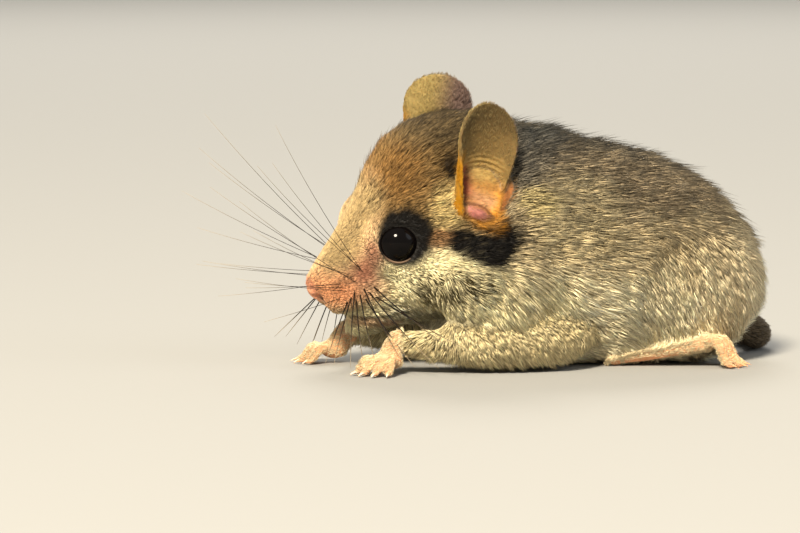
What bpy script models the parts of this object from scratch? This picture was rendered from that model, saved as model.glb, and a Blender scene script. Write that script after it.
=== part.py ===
"""Garden dormouse, a young animal at life size, crouched on its belly with its forepaws stretched out in front.

The model faces -X with +Z up. The origin is the middle of the flat that the belly rests on.
The solids show the coat's outer surface. Sizes are in millimetres times MM, so that Blender gets metres.
"""

import math
import random

import bmesh
import bpy
from mathutils import Matrix, Vector
from mathutils.bvhtree import BVHTree

for old_object in list(bpy.data.objects):
    bpy.data.objects.remove(old_object, do_unlink=True)

MM = 0.001
GAP = 0.3 * MM
SLIVER = 0.01 * MM
FLOOR_BLOCK_DEPTH = 40 * MM
FLOOR_BLOCK_WIDTH = 300 * MM
SHARP_ANGLE = math.radians(50)
X_AXIS = Vector((1, 0, 0))
Y_AXIS = Vector((0, 1, 0))
Z_AXIS = Vector((0, 0, 1))
SIDES = {"left": -1, "right": 1}

# The head: its long axis runs from the nose tip up and back. It turns a little to its right and tips to its left.
NOSE_TIP = Vector((-43.9, 2.0, 13.5)) * MM
HEAD_PITCH = math.radians(27)
HEAD_ROLL = math.radians(10.5)
HEAD_YAW = math.radians(-4)

# Along the head's axis: distance back from the nose, top and bottom height off the axis, half width.
HEAD_STATIONS = (
    (0.0, 0.4, -2.2, 1.5),
    (2.0, 1.9, -5.0, 3.1),
    (5.0, 3.6, -8.6, 4.7),
    (8.6, 5.8, -12.2, 6.3),
    (11.7, 8.0, -13.8, 7.4),
    (14.7, 10.2, -14.8, 8.6),
    (18.0, 12.8, -15.2, 10.2),
    (22.0, 14.9, -15.2, 12.2),
    (26.0, 15.6, -14.8, 13.8),
    (30.0, 15.2, -13.8, 13.8),
    (34.0, 13.9, -12.0, 12.6),
    (38.0, 11.0, -9.0, 10.0),
)
HEAD_WIDEST_AT = 0.42
HEAD_SQUARENESS = 2.15
HEAD_RING_POINTS = 32

# Along the body's length: place, top, bottom, half width.
TORSO_STATIONS = (
    (-20.0, 35.0, 3.0, 11.0),
    (-14.0, 39.6, 1.0, 14.5),
    (-8.0, 39.2, 0.0, 16.8),
    (0.0, 37.4, -0.5, 18.2),
    (7.0, 35.8, -0.6, 19.0),
    (14.0, 34.2, -0.5, 19.0),
    (21.0, 31.2, 0.3, 17.8),
    (26.0, 27.6, 1.8, 15.3),
    (30.0, 23.6, 4.0, 12.0),
    (33.2, 18.5, 7.2, 7.5),
    (34.4, 15.0, 11.0, 3.0),
)
TORSO_WIDEST_AT = 0.40
TORSO_SQUARENESS = 2.3
TORSO_RING_POINTS = 36

# Rounded masses laid on the lofts: centre (x, outward, z) and radii.
HAUNCH = ((17.0, 11.5, 13.0), (13.3, 8.0, 13.0))
HIND_LEG_REGION = ((16.5, 19.0, 11.0), (12.5, 13.5, 12.5))
RUFF = ((-13.5, 10.8, 14.2), (13.0, 7.2, 9.6))
# The same for the head, as (back along the axis, outward, height off the axis) and radii.
CHEEK = ((21.5, 7.0, -5.8), (9.8, 6.0, 8.7))
BROW = ((18.0, 5.2, 3.6), (5.4, 3.4, 4.0))
EAR_BASE = ((29.0, 11.9, -0.2), (4.6, 3.0, 4.0))
WHISKER_BULGE = ((5.4, 2.7, -4.0), (4.4, 2.9, 3.4))
CHIN = ((7.6, 0.0, -10.4), (4.9, 3.2, 2.9))

# The eyes stand proud of the head between two lids.
EYE_RADIUS = 3.5 * MM
EYE_PLACE = (15.5, 7.3, 1.7)
EYE_OPENING_RADIUS = 3.0 * MM
EYE_MOUND_RADII = (6.0, 6.0, 2.3)
LID_THICKNESS = 0.62 * MM
# How far the lid's ring stands outside the opening and sinks below it, as shares of its thickness.
LID_STANDS_OUT = 0.8
LID_SINKS = 0.5
EYE_LOOKS_FORWARD = math.radians(16)
EYE_LOOKS_UP = math.radians(8)

# The ears are thin oval cups, open to the side and a little forward.
EAR_HEIGHT = 20.6 * MM
EAR_HALF_WIDTH = 7.2 * MM
EAR_ROOT_HALF_WIDTH = 8.8 * MM
EAR_WIDEST_AT = 0.62
EAR_THICKNESS = 0.8 * MM
EAR_ROOT_DEPTH = 3.5 * MM
EAR_ROOT_BEND = 122
EAR_TIP_BEND = 52
EAR_FRONT_FOLD = 3.0 * MM
EAR_FOLD_STARTS = 0.45
EAR_FOLD_TURNS_OUT = 0.5
EAR_OPENS_UNTIL = 0.8
EAR_TIP_ROUNDNESS = 2.2
EAR_TIP_HALF_WIDTH = 0.5 * MM
EAR_TIP_CURLS_BACK = 1.2 * MM
# At the root the front edge ends high, the rear edge comes low and forward, and both go into the skin.
EAR_FRONT_EDGE_LIFT = 5.0 * MM
EAR_REAR_EDGE_DROP = 1.5 * MM
EAR_REAR_EDGE_TUCK = 1.6 * MM
EAR_EDGES_SINK = 3.0 * MM
EAR_ROWS = 10
EAR_COLUMNS = 8
EAR_ROOT = (26.3, 8.5, 0.4)
EAR_FACES_FORWARD = math.radians(-14)
EAR_LEANS_OUT = {"left": math.radians(14), "right": math.radians(3)}
EAR_LEANS_BACK = math.radians(7)
EAR_HOLE_PLACE = (7.6, 4.2)
EAR_HOLE_RADII = (3.0, 4.4, 2.4)

# Forelegs: elbow to wrist, as (x, outward, z) and radius, then how far forward each paw's wrist is set.
FORELEG_PATH = ((-1.0, 13.4, 6.4), (-6.5, 14.2, 5.4), (-15.5, 14.4, 4.4), (-24.0, 12.2, 4.7), (-31.0, 9.6, 4.9))
FORELEG_RADII = (2.8, 5.0, 4.0, 3.2, 2.3)
FORELEG_SKIN = 0.9
FOREPAW_REACH = {"left": 0.0, "right": -2.0}
# How far each forepaw's fingers point outward from straight ahead.
FOREPAW_TURN = {"left": math.radians(38), "right": math.radians(6)}

# The head ends behind the ears, the neck in front of the shoulders: nape and throat of each cut, as (x, z).
HEAD_CUT = ((-8.5, 39.0), (-21.0, 6.0))
NECK_CUT = ((0.0, 38.0), (-11.0, 2.0))

# The mouth line on each side, from under the nose to the corner, as (back, outward, height) near the surface.
MOUTH_LINE = ((3.0, 0.0, -6.8), (3.9, 2.0, -7.8), (6.2, 3.9, -9.0), (8.8, 5.3, -9.9), (11.8, 7.0, -10.4))
MOUTH_GROOVE_RADIUS = 0.38 * MM

# The bare nose pad and its nostrils, and the pads that the whiskers grow from, as head forms.
NOSE_PAD = ((0.4, 0.0, -2.3), (2.0, 2.3, 2.3))
NOSTRIL = ((0.9, 1.5, -2.8), (0.95, 0.42, 0.6))
WHISKER_PAD = ((5.2, 5.3, -4.2), (3.1, 1.7, 2.7))
WHISKERS_PER_SIDE = 9
WHISKER_LONGEST = 34 * MM
WHISKER_SHORTEST = 20 * MM
WHISKER_ROOT_RADIUS = 0.27 * MM
WHISKER_TIP_RADIUS = 0.12 * MM
WHISKER_FLOOR_CLEARANCE = 1.0 * MM
# From the first hair of a fan to the last: swing forward from straight out, and lift off the level.
WHISKER_SWING = (math.radians(66), math.radians(-10))
WHISKER_LIFT = (math.radians(33), math.radians(-19))
WHISKER_BEND = (0.08, 0.0, 0.05)
WHISKER_STEPS = (0.0, 0.35, 0.7, 1.0)
# Their roots' field on the pad, as shares of its radii, how deep they are sunk, and the turn from one to the next.
WHISKER_FIELD = (0.55, 0.55)
WHISKER_ROOT_SUNK = 0.35
WHISKER_ROOT_TURN = 2.4

# Forepaw: four fingers ahead of a short palm. Hind foot: five toes ahead of a long sole.
PALM = (2.3, 2.5, 1.6)
PALM_HEIGHT = 2.2
WRIST_WIDTHS = (2.4, 2.2, 2.0)
WRIST_HEIGHTS = (2.3, 2.1, 1.5)
# The wrist runs from inside the foreleg into the palm, and the fingers start ahead of the palm's middle.
WRIST_SUNK_IN = 2.0
WRIST_REACH = 0.6
PALM_PAST_WRIST = 1.4
PALM_AHEAD = 1.9
FINGERS_START = 1.5
FINGER_LENGTHS = (3.7, 4.4, 4.3, 3.5)
FINGER_RADIUS = 0.72
FINGER_SPACING = 1.25
FINGER_SPREAD = math.radians(13)
HIND_SOLE_LENGTH = 15.0
SOLE_WIDTHS = (1.7, 2.1, 2.6, 2.2)
SOLE_HEIGHTS = (1.8, 1.8, 1.5, 1.1)
HEEL = (1.9, 1.8, 1.9)
SOLE_PAST_BALL = 1.4
SOLE_SIDES = 16
TOES_START = 0.4
TOE_LENGTHS = (4.0, 5.4, 5.9, 5.6, 4.2)
TOE_RADIUS = 0.78
TOE_SPACING = 1.15
TOE_SPREAD = math.radians(11)
CLAW_LENGTH = 1.5
CLAW_RADIUS = 0.36
# Along a claw: share of its length past the digit's tip, drop, share of its radius.
CLAW_RINGS = ((-0.4, 0.0, 1.0), (0.35, 0.0, 0.8), (0.8, 0.3, 0.3))
# Along a digit: where its knuckle and last joint lie, and its radius at the root, knuckle, joint and tip.
KNUCKLE_AT = 0.42
LAST_JOINT_AT = 0.76
DIGIT_RADII = (1.05, 1.1, 0.95, 0.8)
# In radii of the digit: how far its knuckle rises, and the heights of its last joint and its tip off the floor.
KNUCKLE_RISES = 0.35
LAST_JOINT_HEIGHT = 1.35
DIGIT_TIP_HEIGHT = 0.7
DIGIT_SIDES = 10
# Heel (x, outward), bearing of the toes from +X and height of the ball: the left foot trails, the right is tucked in.
HIND_FEET = {"left": ((5.0, 11.0), 25.0, 4.0), "right": ((20.5, 14.0), 172.0, 1.5)}

# The tail leaves the rump, drops to the floor and lies round the animal's right side.
TAIL_PATH = (
    (27.0, -0.5, 7.0), (32.5, -0.2, 4.6), (36.4, 2.6, 3.0), (38.4, 8.2, 2.5), (38.2, 15.0, 2.4), (34.8, 22.0, 2.3),
    (28.4, 28.0, 2.2), (20.0, 32.0, 2.1), (10.5, 34.4, 2.0), (0.5, 35.6, 1.9), (-5.5, 36.2, 1.9),
)
TAIL_RADII = (3.4, 3.0, 2.6, 2.4, 2.3, 2.2, 2.2, 2.1, 2.0, 1.7, 1.0)
TAIL_CUTS = (0.36, 0.66)
BRUSH_LOCKS = 28
BRUSH_LOCK_LENGTH = (8.0, 13.0)
BRUSH_LOCK_HALF_WIDTH = 0.85
BRUSH_LOCK_HALF_THICKNESS = 0.34
# Along a lock: share of its length, of its width and of its thickness.
BRUSH_LOCK_RINGS = ((0.02, 0.75, 1.0), (0.35, 1.0, 1.0), (0.7, 0.66, 0.8), (1.0, 0.1, 0.3))
BRUSH_STANDS_OFF = 0.46
BRUSH_FLATNESS = 0.55
BRUSH_TURN = math.radians(137.5)
BRUSH_STARTS = 0.12
BRUSH_COVERS = 0.86
BRUSH_CROWDING = 0.9
BRUSH_LOCK_CURVE = 1.9
BRUSH_FLOOR_CLEARANCE = 0.35 * MM
BRUSH_UNEVENNESS = 0.3

VOXEL_HEAD = 0.75 * MM
VOXEL_TRUNK = 1.3 * MM
VOXEL_PAW = 0.32 * MM
KEEP_HEAD = 0.11
KEEP_TRUNK = 0.15
KEEP_FOREPAW = 0.06
KEEP_HIND_FOOT = 0.042

# Linear colour and roughness of each kind of piece, by the start of its name.
FINISHES = {
    "head": ((0.33, 0.24, 0.13), 0.9),
    "neck": ((0.22, 0.17, 0.11), 0.9),
    "torso": ((0.20, 0.16, 0.11), 0.9),
    "foreleg": ((0.46, 0.38, 0.26), 0.9),
    "hind_leg": ((0.30, 0.25, 0.18), 0.9),
    "forepaw": ((0.75, 0.44, 0.32), 0.55),
    "hind_foot": ((0.75, 0.44, 0.32), 0.55),
    "nose": ((0.74, 0.30, 0.18), 0.4),
    "whisker_pad": ((0.60, 0.40, 0.27), 0.8),
    "ear": ((0.38, 0.23, 0.10), 0.6),
    "eye": ((0.006, 0.005, 0.006), 0.05),
    "tail_base": ((0.16, 0.12, 0.08), 0.9),
    "tail_middle": ((0.14, 0.11, 0.08), 0.9),
    "tail_brush": ((0.34, 0.32, 0.29), 0.9),
}


def millimetres(values):
    return Vector(values) * MM


def on_side(values, side):
    """A point given as (x, outward, z) in millimetres, on the left or the right."""
    x, outward, z = values
    return Vector((x, SIDES[side] * outward, z)) * MM


def between(ends, share):
    low, high = ends
    return low + (high - low) * share


def head_matrix():
    """From head coordinates (back along the axis, right, up off the axis) to the part's frame."""
    along = Vector((math.cos(HEAD_PITCH), 0, math.sin(HEAD_PITCH)))
    upward = Vector((-math.sin(HEAD_PITCH), 0, math.cos(HEAD_PITCH)))
    turned = Matrix((along, Y_AXIS, upward)).transposed()
    roll = Matrix.Rotation(HEAD_ROLL, 3, X_AXIS)
    yaw = Matrix.Rotation(HEAD_YAW, 3, Z_AXIS)
    return Matrix.Translation(NOSE_TIP) @ (yaw @ turned @ roll).to_4x4()


HEAD = head_matrix()


def on_head(values, side="right"):
    """A point given as (back, outward, height) in millimetres off the head's axis."""
    return HEAD @ on_side(values, side)


def head_direction(back, outward, height, side="right"):
    return (HEAD.to_3x3() @ Vector((back, SIDES[side] * outward, height))).normalized()


def new_object(name, bm):
    mesh = bpy.data.meshes.new(name)
    bm.to_mesh(mesh)
    bm.free()
    obj = bpy.data.objects.new(name, mesh)
    bpy.context.scene.collection.objects.link(obj)
    return obj


def discard(*objects):
    for obj in objects:
        bpy.data.objects.remove(obj, do_unlink=True)


def baked(obj):
    """Turns the object's modifiers into its own mesh."""
    graph = bpy.context.evaluated_depsgraph_get()
    mesh = bpy.data.meshes.new_from_object(obj.evaluated_get(graph))
    obj.modifiers.clear()
    obj.data = mesh
    return obj


def copy_of(obj, name):
    twin = bpy.data.objects.new(name, obj.data.copy())
    bpy.context.scene.collection.objects.link(twin)
    return twin


def section_points(centre, across, rise, half_width, above, below, count, squareness):
    """One ring of a loft: an oval whose upper and lower halves have their own heights."""
    points = []
    for step in range(count):
        angle = math.tau * step / count
        c = math.cos(angle)
        s = math.sin(angle)
        wide = math.copysign(abs(c) ** (2 / squareness), c) * half_width
        high = math.copysign(abs(s) ** (2 / squareness), s) * (above if s > 0 else below)
        points.append(centre + across * wide + rise * high)
    return points


def loft(name, rings):
    """A closed skin through the rings, with a point at the middle of each end."""
    bm = bmesh.new()
    loops = [[bm.verts.new(point) for point in ring] for ring in rings]
    count = len(rings[0])
    for before, after in zip(loops, loops[1:]):
        for i in range(count):
            j = (i + 1) % count
            bm.faces.new((before[i], before[j], after[j], after[i]))
    for ring in (loops[0], loops[-1]):
        middle = bm.verts.new(sum((v.co for v in ring), Vector()) / count)
        for i in range(count):
            bm.faces.new((ring[i], ring[(i + 1) % count], middle))
    bmesh.ops.recalc_face_normals(bm, faces=bm.faces)
    return new_object(name, bm)


def smooth_path(points, steps):
    """A curve through the points: steps pieces between each two of them."""
    padded = [points[0] * 2 - points[1], *points, points[-1] * 2 - points[-2]]
    path = []
    for a, b, c, d in zip(padded, padded[1:], padded[2:], padded[3:]):
        for step in range(steps):
            t = step / steps
            path.append(
                (b * 2 + (c - a) * t + (a * 2 - b * 5 + c * 4 - d) * t**2 + (b * 3 - a - c * 3 + d) * t**3) / 2
            )
    return [*path, points[-1]]


def spread_over(values, steps):
    """Values between each two of a list, so that they match a smooth_path of as many steps."""
    found = []
    for low, high in zip(values, values[1:]):
        found += [low + (high - low) * step / steps for step in range(steps)]
    return [*found, values[-1]]


def tube(name, path, half_widths, half_heights, rise=Z_AXIS, count=12, squareness=2.0):
    """A closed limb along a path. Its height is measured along rise, its width across that."""
    rings = []
    for i, point in enumerate(path):
        along = (path[min(i + 1, len(path) - 1)] - path[max(i - 1, 0)]).normalized()
        across = along.cross(rise).normalized()
        up = across.cross(along)
        rings.append(
            section_points(point, across, up, half_widths[i], half_heights[i], half_heights[i], count, squareness)
        )
    return loft(name, rings)


def ellipsoid(name, matrix, radii, detail=3):
    bm = bmesh.new()
    bmesh.ops.create_icosphere(bm, subdivisions=detail, radius=1.0)
    bmesh.ops.transform(bm, matrix=matrix @ Matrix.Diagonal((*radii, 1.0)), verts=bm.verts)
    return new_object(name, bm)


def largest_shell(obj):
    """Drops every loose scrap that a cut leaves, and keeps the biggest closed surface."""
    bm = bmesh.new()
    bm.from_mesh(obj.data)
    left = set(bm.verts)
    shells = []
    while left:
        seed = left.pop()
        shell = {seed}
        front = [seed]
        while front:
            for edge in front.pop().link_edges:
                for vert in edge.verts:
                    if vert not in shell:
                        shell.add(vert)
                        front.append(vert)
        left -= shell
        shells.append(shell)
    keep = max(shells, key=len)
    bmesh.ops.delete(bm, geom=[v for v in bm.verts if v not in keep], context="VERTS")
    bm.to_mesh(obj.data)
    bm.free()
    return obj


def fused(name, pieces, voxel, smoothing, keep=1.0):
    """The pieces as one skin, with the creases between them eased. The pieces are used up."""
    bm = bmesh.new()
    for piece in pieces:
        bm.from_mesh(piece.data)
    discard(*pieces)
    obj = new_object(name, bm)
    remesh = obj.modifiers.new("skin", "REMESH")
    remesh.mode = "VOXEL"
    remesh.voxel_size = voxel
    ease = obj.modifiers.new("ease", "SMOOTH")
    ease.factor = 0.5
    ease.iterations = smoothing
    thin = obj.modifiers.new("thin", "DECIMATE")
    thin.ratio = keep
    thin.use_collapse_triangulate = True
    return largest_shell(baked(obj))


def tidied(obj):
    """Merges the slivers that a Boolean leaves along its seam, where that leaves the skin closed."""
    bm = bmesh.new()
    bm.from_mesh(obj.data)
    bmesh.ops.triangulate(bm, faces=bm.faces)
    bmesh.ops.dissolve_degenerate(bm, edges=bm.edges, dist=SLIVER)
    if all(len(edge.link_faces) == 2 for edge in bm.edges):
        bm.to_mesh(obj.data)
    bm.free()
    return obj


def combine(obj, other, operation):
    """A Boolean of the object with another, which is used up. The exact solver leaves these skins open."""
    modifier = obj.modifiers.new("combine", "BOOLEAN")
    modifier.operation = operation
    modifier.solver = "MANIFOLD"
    modifier.object = other
    baked(obj)
    discard(other)
    return tidied(obj)


def merge_all(obj, pieces):
    """Joins closed pieces into the object by one union. The pieces are used up."""
    collection = bpy.data.collections.new("joined")
    for piece in pieces:
        collection.objects.link(piece)
    modifier = obj.modifiers.new("merge", "BOOLEAN")
    modifier.operation = "UNION"
    modifier.solver = "MANIFOLD"
    modifier.operand_type = "COLLECTION"
    modifier.collection = collection
    baked(obj)
    discard(*pieces)
    bpy.data.collections.remove(collection)
    return largest_shell(obj)


def keep_side(obj, point, normal):
    """Cuts by a plane, keeps what lies on the normal's side and closes it with a flat."""
    bm = bmesh.new()
    bm.from_mesh(obj.data)
    everything = [*bm.verts, *bm.edges, *bm.faces]
    bmesh.ops.bisect_plane(bm, geom=everything, plane_co=point, plane_no=normal, clear_inner=True)
    rims = [edge for edge in bm.edges if edge.is_boundary]
    bmesh.ops.holes_fill(bm, edges=rims, sides=0)
    bmesh.ops.recalc_face_normals(bm, faces=bm.faces)
    bmesh.ops.triangulate(bm, faces=[face for face in bm.faces if len(face.verts) > 4])
    bm.to_mesh(obj.data)
    bm.free()
    return obj


def cut_at_floor(obj):
    """Leaves a flat where the object would reach below the floor."""
    bm = bmesh.new()
    bmesh.ops.create_cube(bm, size=1.0)
    wide = Matrix.Diagonal((FLOOR_BLOCK_WIDTH, FLOOR_BLOCK_WIDTH, FLOOR_BLOCK_DEPTH, 1.0))
    bmesh.ops.transform(bm, matrix=Matrix.Translation(Z_AXIS * -FLOOR_BLOCK_DEPTH / 2) @ wide, verts=bm.verts)
    combine(obj, new_object("floor", bm), "DIFFERENCE")
    return largest_shell(obj)


# The whole body: head, trunk, haunches and forelegs as one skin, before it is parted.
def head_loft():
    across = head_direction(0, 1, 0)
    rise = head_direction(0, 0, 1)
    rings = []
    for back, top, bottom, half_width in HEAD_STATIONS:
        middle = bottom + (top - bottom) * HEAD_WIDEST_AT
        rings.append(
            section_points(
                on_head((back, 0, middle)), across, rise,
                half_width * MM, (top - middle) * MM, (middle - bottom) * MM,
                HEAD_RING_POINTS, HEAD_SQUARENESS,
            )
        )
    return loft("head_loft", rings)


def torso_loft():
    rings = []
    for x, top, bottom, half_width in TORSO_STATIONS:
        middle = bottom + (top - bottom) * TORSO_WIDEST_AT
        rings.append(
            section_points(
                millimetres((x, 0, middle)), Y_AXIS, Z_AXIS,
                half_width * MM, (top - middle) * MM, (middle - bottom) * MM,
                TORSO_RING_POINTS, TORSO_SQUARENESS,
            )
        )
    return loft("torso_loft", rings)


def body_mass(form, side):
    centre, radii = form
    return ellipsoid("mass", Matrix.Translation(on_side(centre, side)), millimetres(radii))


def head_mass(form, side):
    centre, radii = form
    place = HEAD @ Matrix.Translation(on_side(centre, side))
    return ellipsoid("mass", place, millimetres(radii))


def foreleg_path(side):
    """Elbow to wrist. The paw's reach is added bit by bit towards the wrist."""
    last = len(FORELEG_PATH) - 1
    points = []
    for i, place in enumerate(FORELEG_PATH):
        points.append(on_side(place, side) + X_AXIS * FOREPAW_REACH[side] * MM * i / last)
    return points


def foreleg_form(side):
    path = smooth_path(foreleg_path(side), 4)
    radii = [radius * MM for radius in spread_over(FORELEG_RADII, 4)]
    return tube("foreleg", path, radii, radii)


def eye_direction(side):
    ahead = math.sin(EYE_LOOKS_FORWARD)
    up = math.sin(EYE_LOOKS_UP)
    return head_direction(-ahead, math.sqrt(1 - ahead**2 - up**2), up, side)


def eye_matrix(side):
    """The eyeball's centre, with Z out through its pupil."""
    turn = eye_direction(side).to_track_quat("Z", "Y").to_matrix().to_4x4()
    return Matrix.Translation(on_head(EYE_PLACE, side)) @ turn


def eye_mound(side):
    """The round swelling that the lids lie on."""
    return ellipsoid("mound", eye_matrix(side), millimetres(EYE_MOUND_RADII))


def body_forms():
    forms = [head_loft(), torso_loft(), head_mass(CHIN, "right")]
    for side in SIDES:
        forms += [body_mass(HAUNCH, side), body_mass(RUFF, side), foreleg_form(side)]
        forms += [head_mass(form, side) for form in (CHEEK, BROW, EAR_BASE, WHISKER_BULGE)]
        forms.append(eye_mound(side))
    return forms


def whole_body(name, voxel, smoothing, keep):
    """The body as one skin, with the flats that it rests on at the level of the floor."""
    return cut_at_floor(fused(name, body_forms(), voxel, smoothing, keep))


def swollen(obj, amount=GAP):
    """A copy that is larger all round, to cut the space that the object needs."""
    twin = copy_of(obj, "swollen")
    bm = bmesh.new()
    bm.from_mesh(twin.data)
    bm.normal_update()
    offsets = [(vert, vert.normal * amount) for vert in bm.verts]
    for vert, offset in offsets:
        vert.co += offset
    bm.to_mesh(twin.data)
    bm.free()
    return twin


def cut_plane(cut, shift=0.0):
    """A point and the forward normal of a cut across the neck."""
    (nape_x, nape_z), (throat_x, throat_z) = cut
    nape = millimetres((nape_x, 0, nape_z))
    throat = millimetres((throat_x, 0, throat_z))
    normal = (nape - throat).cross(Y_AXIS).normalized()
    return nape + normal * shift, normal


def foreleg_region(side, extra):
    """The space that a foreleg has to itself, which the neck and torso are cut clear of."""
    path = smooth_path(foreleg_path(side), 3)
    radii = [(radius + FORELEG_SKIN) * MM + extra for radius in spread_over(FORELEG_RADII, 3)]
    path = [path[0] * 2 - path[1], *path, path[-1] * 2 - path[-2]]
    radii = [radii[0] * 0.45, *radii, radii[-1]]
    return tube("region", path, radii, radii, count=14)


def hind_leg_region(side, extra):
    centre, radii = HIND_LEG_REGION
    sizes = [radius * MM + extra for radius in radii]
    return ellipsoid("region", Matrix.Translation(on_side(centre, side)), sizes)


def head_region(form, side, extra, detail=2):
    centre, radii = form
    place = HEAD @ Matrix.Translation(on_side(centre, side))
    return ellipsoid("region", place, [radius * MM + extra for radius in radii], detail)


def take_out(source, regions_of, name):
    """A piece of the source inside a region. The source keeps what is outside it, less the gap."""
    piece = combine(copy_of(source, name), regions_of(0.0), "INTERSECT")
    combine(source, regions_of(GAP), "DIFFERENCE")
    largest_shell(source)
    return largest_shell(piece)


def wrist(side):
    """Where the paw is parted from the foreleg, and the way the paw points there."""
    path = foreleg_path(side)
    return path[-1], (path[-1] - path[-2]).normalized()


# Claws and digits.
def claw(tip, direction):
    out = direction * CLAW_LENGTH * MM
    path = [tip + out * share - Z_AXIS * drop * MM for share, drop, _ in CLAW_RINGS]
    radii = [CLAW_RADIUS * thick * MM for _, _, thick in CLAW_RINGS]
    return tube("claw", path, radii, radii, count=5)


def digit(root, direction, length, radius):
    """A finger or toe: up over the knuckle and down to a tip on the floor. Returns it with its claw."""
    knuckle = root + direction * length * KNUCKLE_AT * MM + Z_AXIS * radius * KNUCKLE_RISES * MM
    joint = root + direction * length * LAST_JOINT_AT * MM
    joint.z = radius * LAST_JOINT_HEIGHT * MM
    tip = root + direction * length * MM
    tip.z = radius * DIGIT_TIP_HEIGHT * MM
    path = smooth_path([root, knuckle, joint, tip], 3)
    radii = [radius * share * MM for share in spread_over(DIGIT_RADII, 3)]
    return tube("digit", path, radii, radii, count=DIGIT_SIDES), claw(tip, direction)


def finish_paw(name, forms, claws, keep):
    paw = fused(name, forms, VOXEL_PAW, 3, keep)
    merge_all(paw, claws)
    return cut_at_floor(paw)


def forepaw(side):
    start, forward = wrist(side)
    turn = FOREPAW_TURN[side]
    flat = Vector((-math.cos(turn), SIDES[side] * math.sin(turn), 0))
    across = flat.cross(Z_AXIS)
    palm_centre = start + (forward * PALM_PAST_WRIST + flat * PALM_AHEAD) * MM
    palm_centre.z = PALM_HEIGHT * MM
    turned = Matrix((flat, across, Z_AXIS)).transposed().to_4x4()
    forms = [ellipsoid("palm", Matrix.Translation(palm_centre) @ turned, millimetres(PALM))]
    root = smooth_path([start - forward * WRIST_SUNK_IN * MM, start + forward * WRIST_REACH * MM, palm_centre], 3)
    wide = [size * MM for size in spread_over(WRIST_WIDTHS, 3)]
    high = [size * MM for size in spread_over(WRIST_HEIGHTS, 3)]
    forms.append(tube("root", root, wide, high))
    claws = []
    for i, length in enumerate(FINGER_LENGTHS):
        place = i - (len(FINGER_LENGTHS) - 1) / 2
        direction = Matrix.Rotation(-FINGER_SPREAD * place, 3, "Z") @ flat
        knuckle = palm_centre + flat * FINGERS_START * MM + across * place * FINGER_SPACING * MM
        finger, nail = digit(knuckle, direction, length, FINGER_RADIUS)
        forms.append(finger)
        claws.append(nail)
    return finish_paw(f"forepaw_{side}", forms, claws, KEEP_FOREPAW)


def hind_foot(side):
    (heel_x, outward), bearing, ball_height = HIND_FEET[side]
    bearing = math.radians(bearing)
    flat = Vector((math.cos(bearing), SIDES[side] * math.sin(bearing), 0))
    across = flat.cross(Z_AXIS)
    heel = on_side((heel_x, outward, HEEL[2]), side)
    ball = heel + flat * HIND_SOLE_LENGTH * MM
    ball.z = ball_height * MM
    sole = smooth_path([heel, heel.lerp(ball, 0.5), ball, ball + flat * SOLE_PAST_BALL * MM], 3)
    wide = [size * MM for size in spread_over(SOLE_WIDTHS, 3)]
    high = [size * MM for size in spread_over(SOLE_HEIGHTS, 3)]
    forms = [tube("sole", sole, wide, high, count=SOLE_SIDES)]
    forms.append(ellipsoid("heel", Matrix.Translation(heel), millimetres(HEEL)))
    claws = []
    for i, length in enumerate(TOE_LENGTHS):
        place = i - (len(TOE_LENGTHS) - 1) / 2
        direction = Matrix.Rotation(-TOE_SPREAD * place, 3, "Z") @ flat
        knuckle = ball + flat * TOES_START * MM + across * place * TOE_SPACING * MM
        toe, nail = digit(knuckle, direction, length, TOE_RADIUS)
        forms.append(toe)
        claws.append(nail)
    return finish_paw(f"hind_foot_{side}", forms, claws, KEEP_HIND_FOOT)


# Eyes and lids.
def lid_ring(side):
    depth = math.sqrt(EYE_RADIUS**2 - EYE_OPENING_RADIUS**2)
    major = EYE_OPENING_RADIUS + LID_THICKNESS * LID_STANDS_OUT
    bpy.ops.mesh.primitive_torus_add(
        major_radius=major, minor_radius=LID_THICKNESS, major_segments=24, minor_segments=6,
    )
    ring = bpy.context.object
    ring.data.transform(eye_matrix(side) @ Matrix.Translation(Z_AXIS * (depth - LID_THICKNESS * LID_SINKS)))
    return ring


def eyeball(name, side, radius):
    bm = bmesh.new()
    bmesh.ops.create_uvsphere(bm, u_segments=16, v_segments=8, radius=radius)
    bmesh.ops.transform(bm, matrix=eye_matrix(side), verts=bm.verts)
    return new_object(name, bm)


# The mouth: a groove that follows the lip line over the surface, from corner to corner.
def mouth_groove(surface):
    points = [on_head(place, "left") for place in MOUTH_LINE[:0:-1]]
    points += [on_head(place, "right") for place in MOUTH_LINE]
    path = [surface.find_nearest(point)[0] for point in smooth_path(points, 3)]
    radii = [MOUTH_GROOVE_RADIUS] * len(path)
    return tube("groove", path, radii, radii, rise=head_direction(-0.2, 0, 1), count=6)


# The ears.
def ear_half_width(share):
    """Half the ear's width at a share of its height: a narrow root, widest past the middle, a round tip."""
    if share < EAR_WIDEST_AT:
        rise = math.sin(math.pi / 2 * share / EAR_WIDEST_AT)
        return EAR_ROOT_HALF_WIDTH + (EAR_HALF_WIDTH - EAR_ROOT_HALF_WIDTH) * rise
    fall = (share - EAR_WIDEST_AT) / (1 - EAR_WIDEST_AT)
    return EAR_HALF_WIDTH * math.sqrt(max(0.0, 1 - fall**EAR_TIP_ROUNDNESS))


def ear_axes(side):
    """Up the ear, across it towards its front edge, and out of its cup."""
    turn = Matrix.Rotation(HEAD_YAW, 3, "Z") @ Matrix.Rotation(HEAD_ROLL, 3, "X")
    up = turn @ Vector((math.sin(EAR_LEANS_BACK), SIDES[side] * math.sin(EAR_LEANS_OUT[side]), 1.0)).normalized()
    faces = turn @ Vector((-math.sin(EAR_FACES_FORWARD), SIDES[side] * math.cos(EAR_FACES_FORWARD), 0.0))
    out = (faces - up * faces.dot(up)).normalized()
    front = up.cross(out) * SIDES[side]
    return up, front, out


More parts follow.
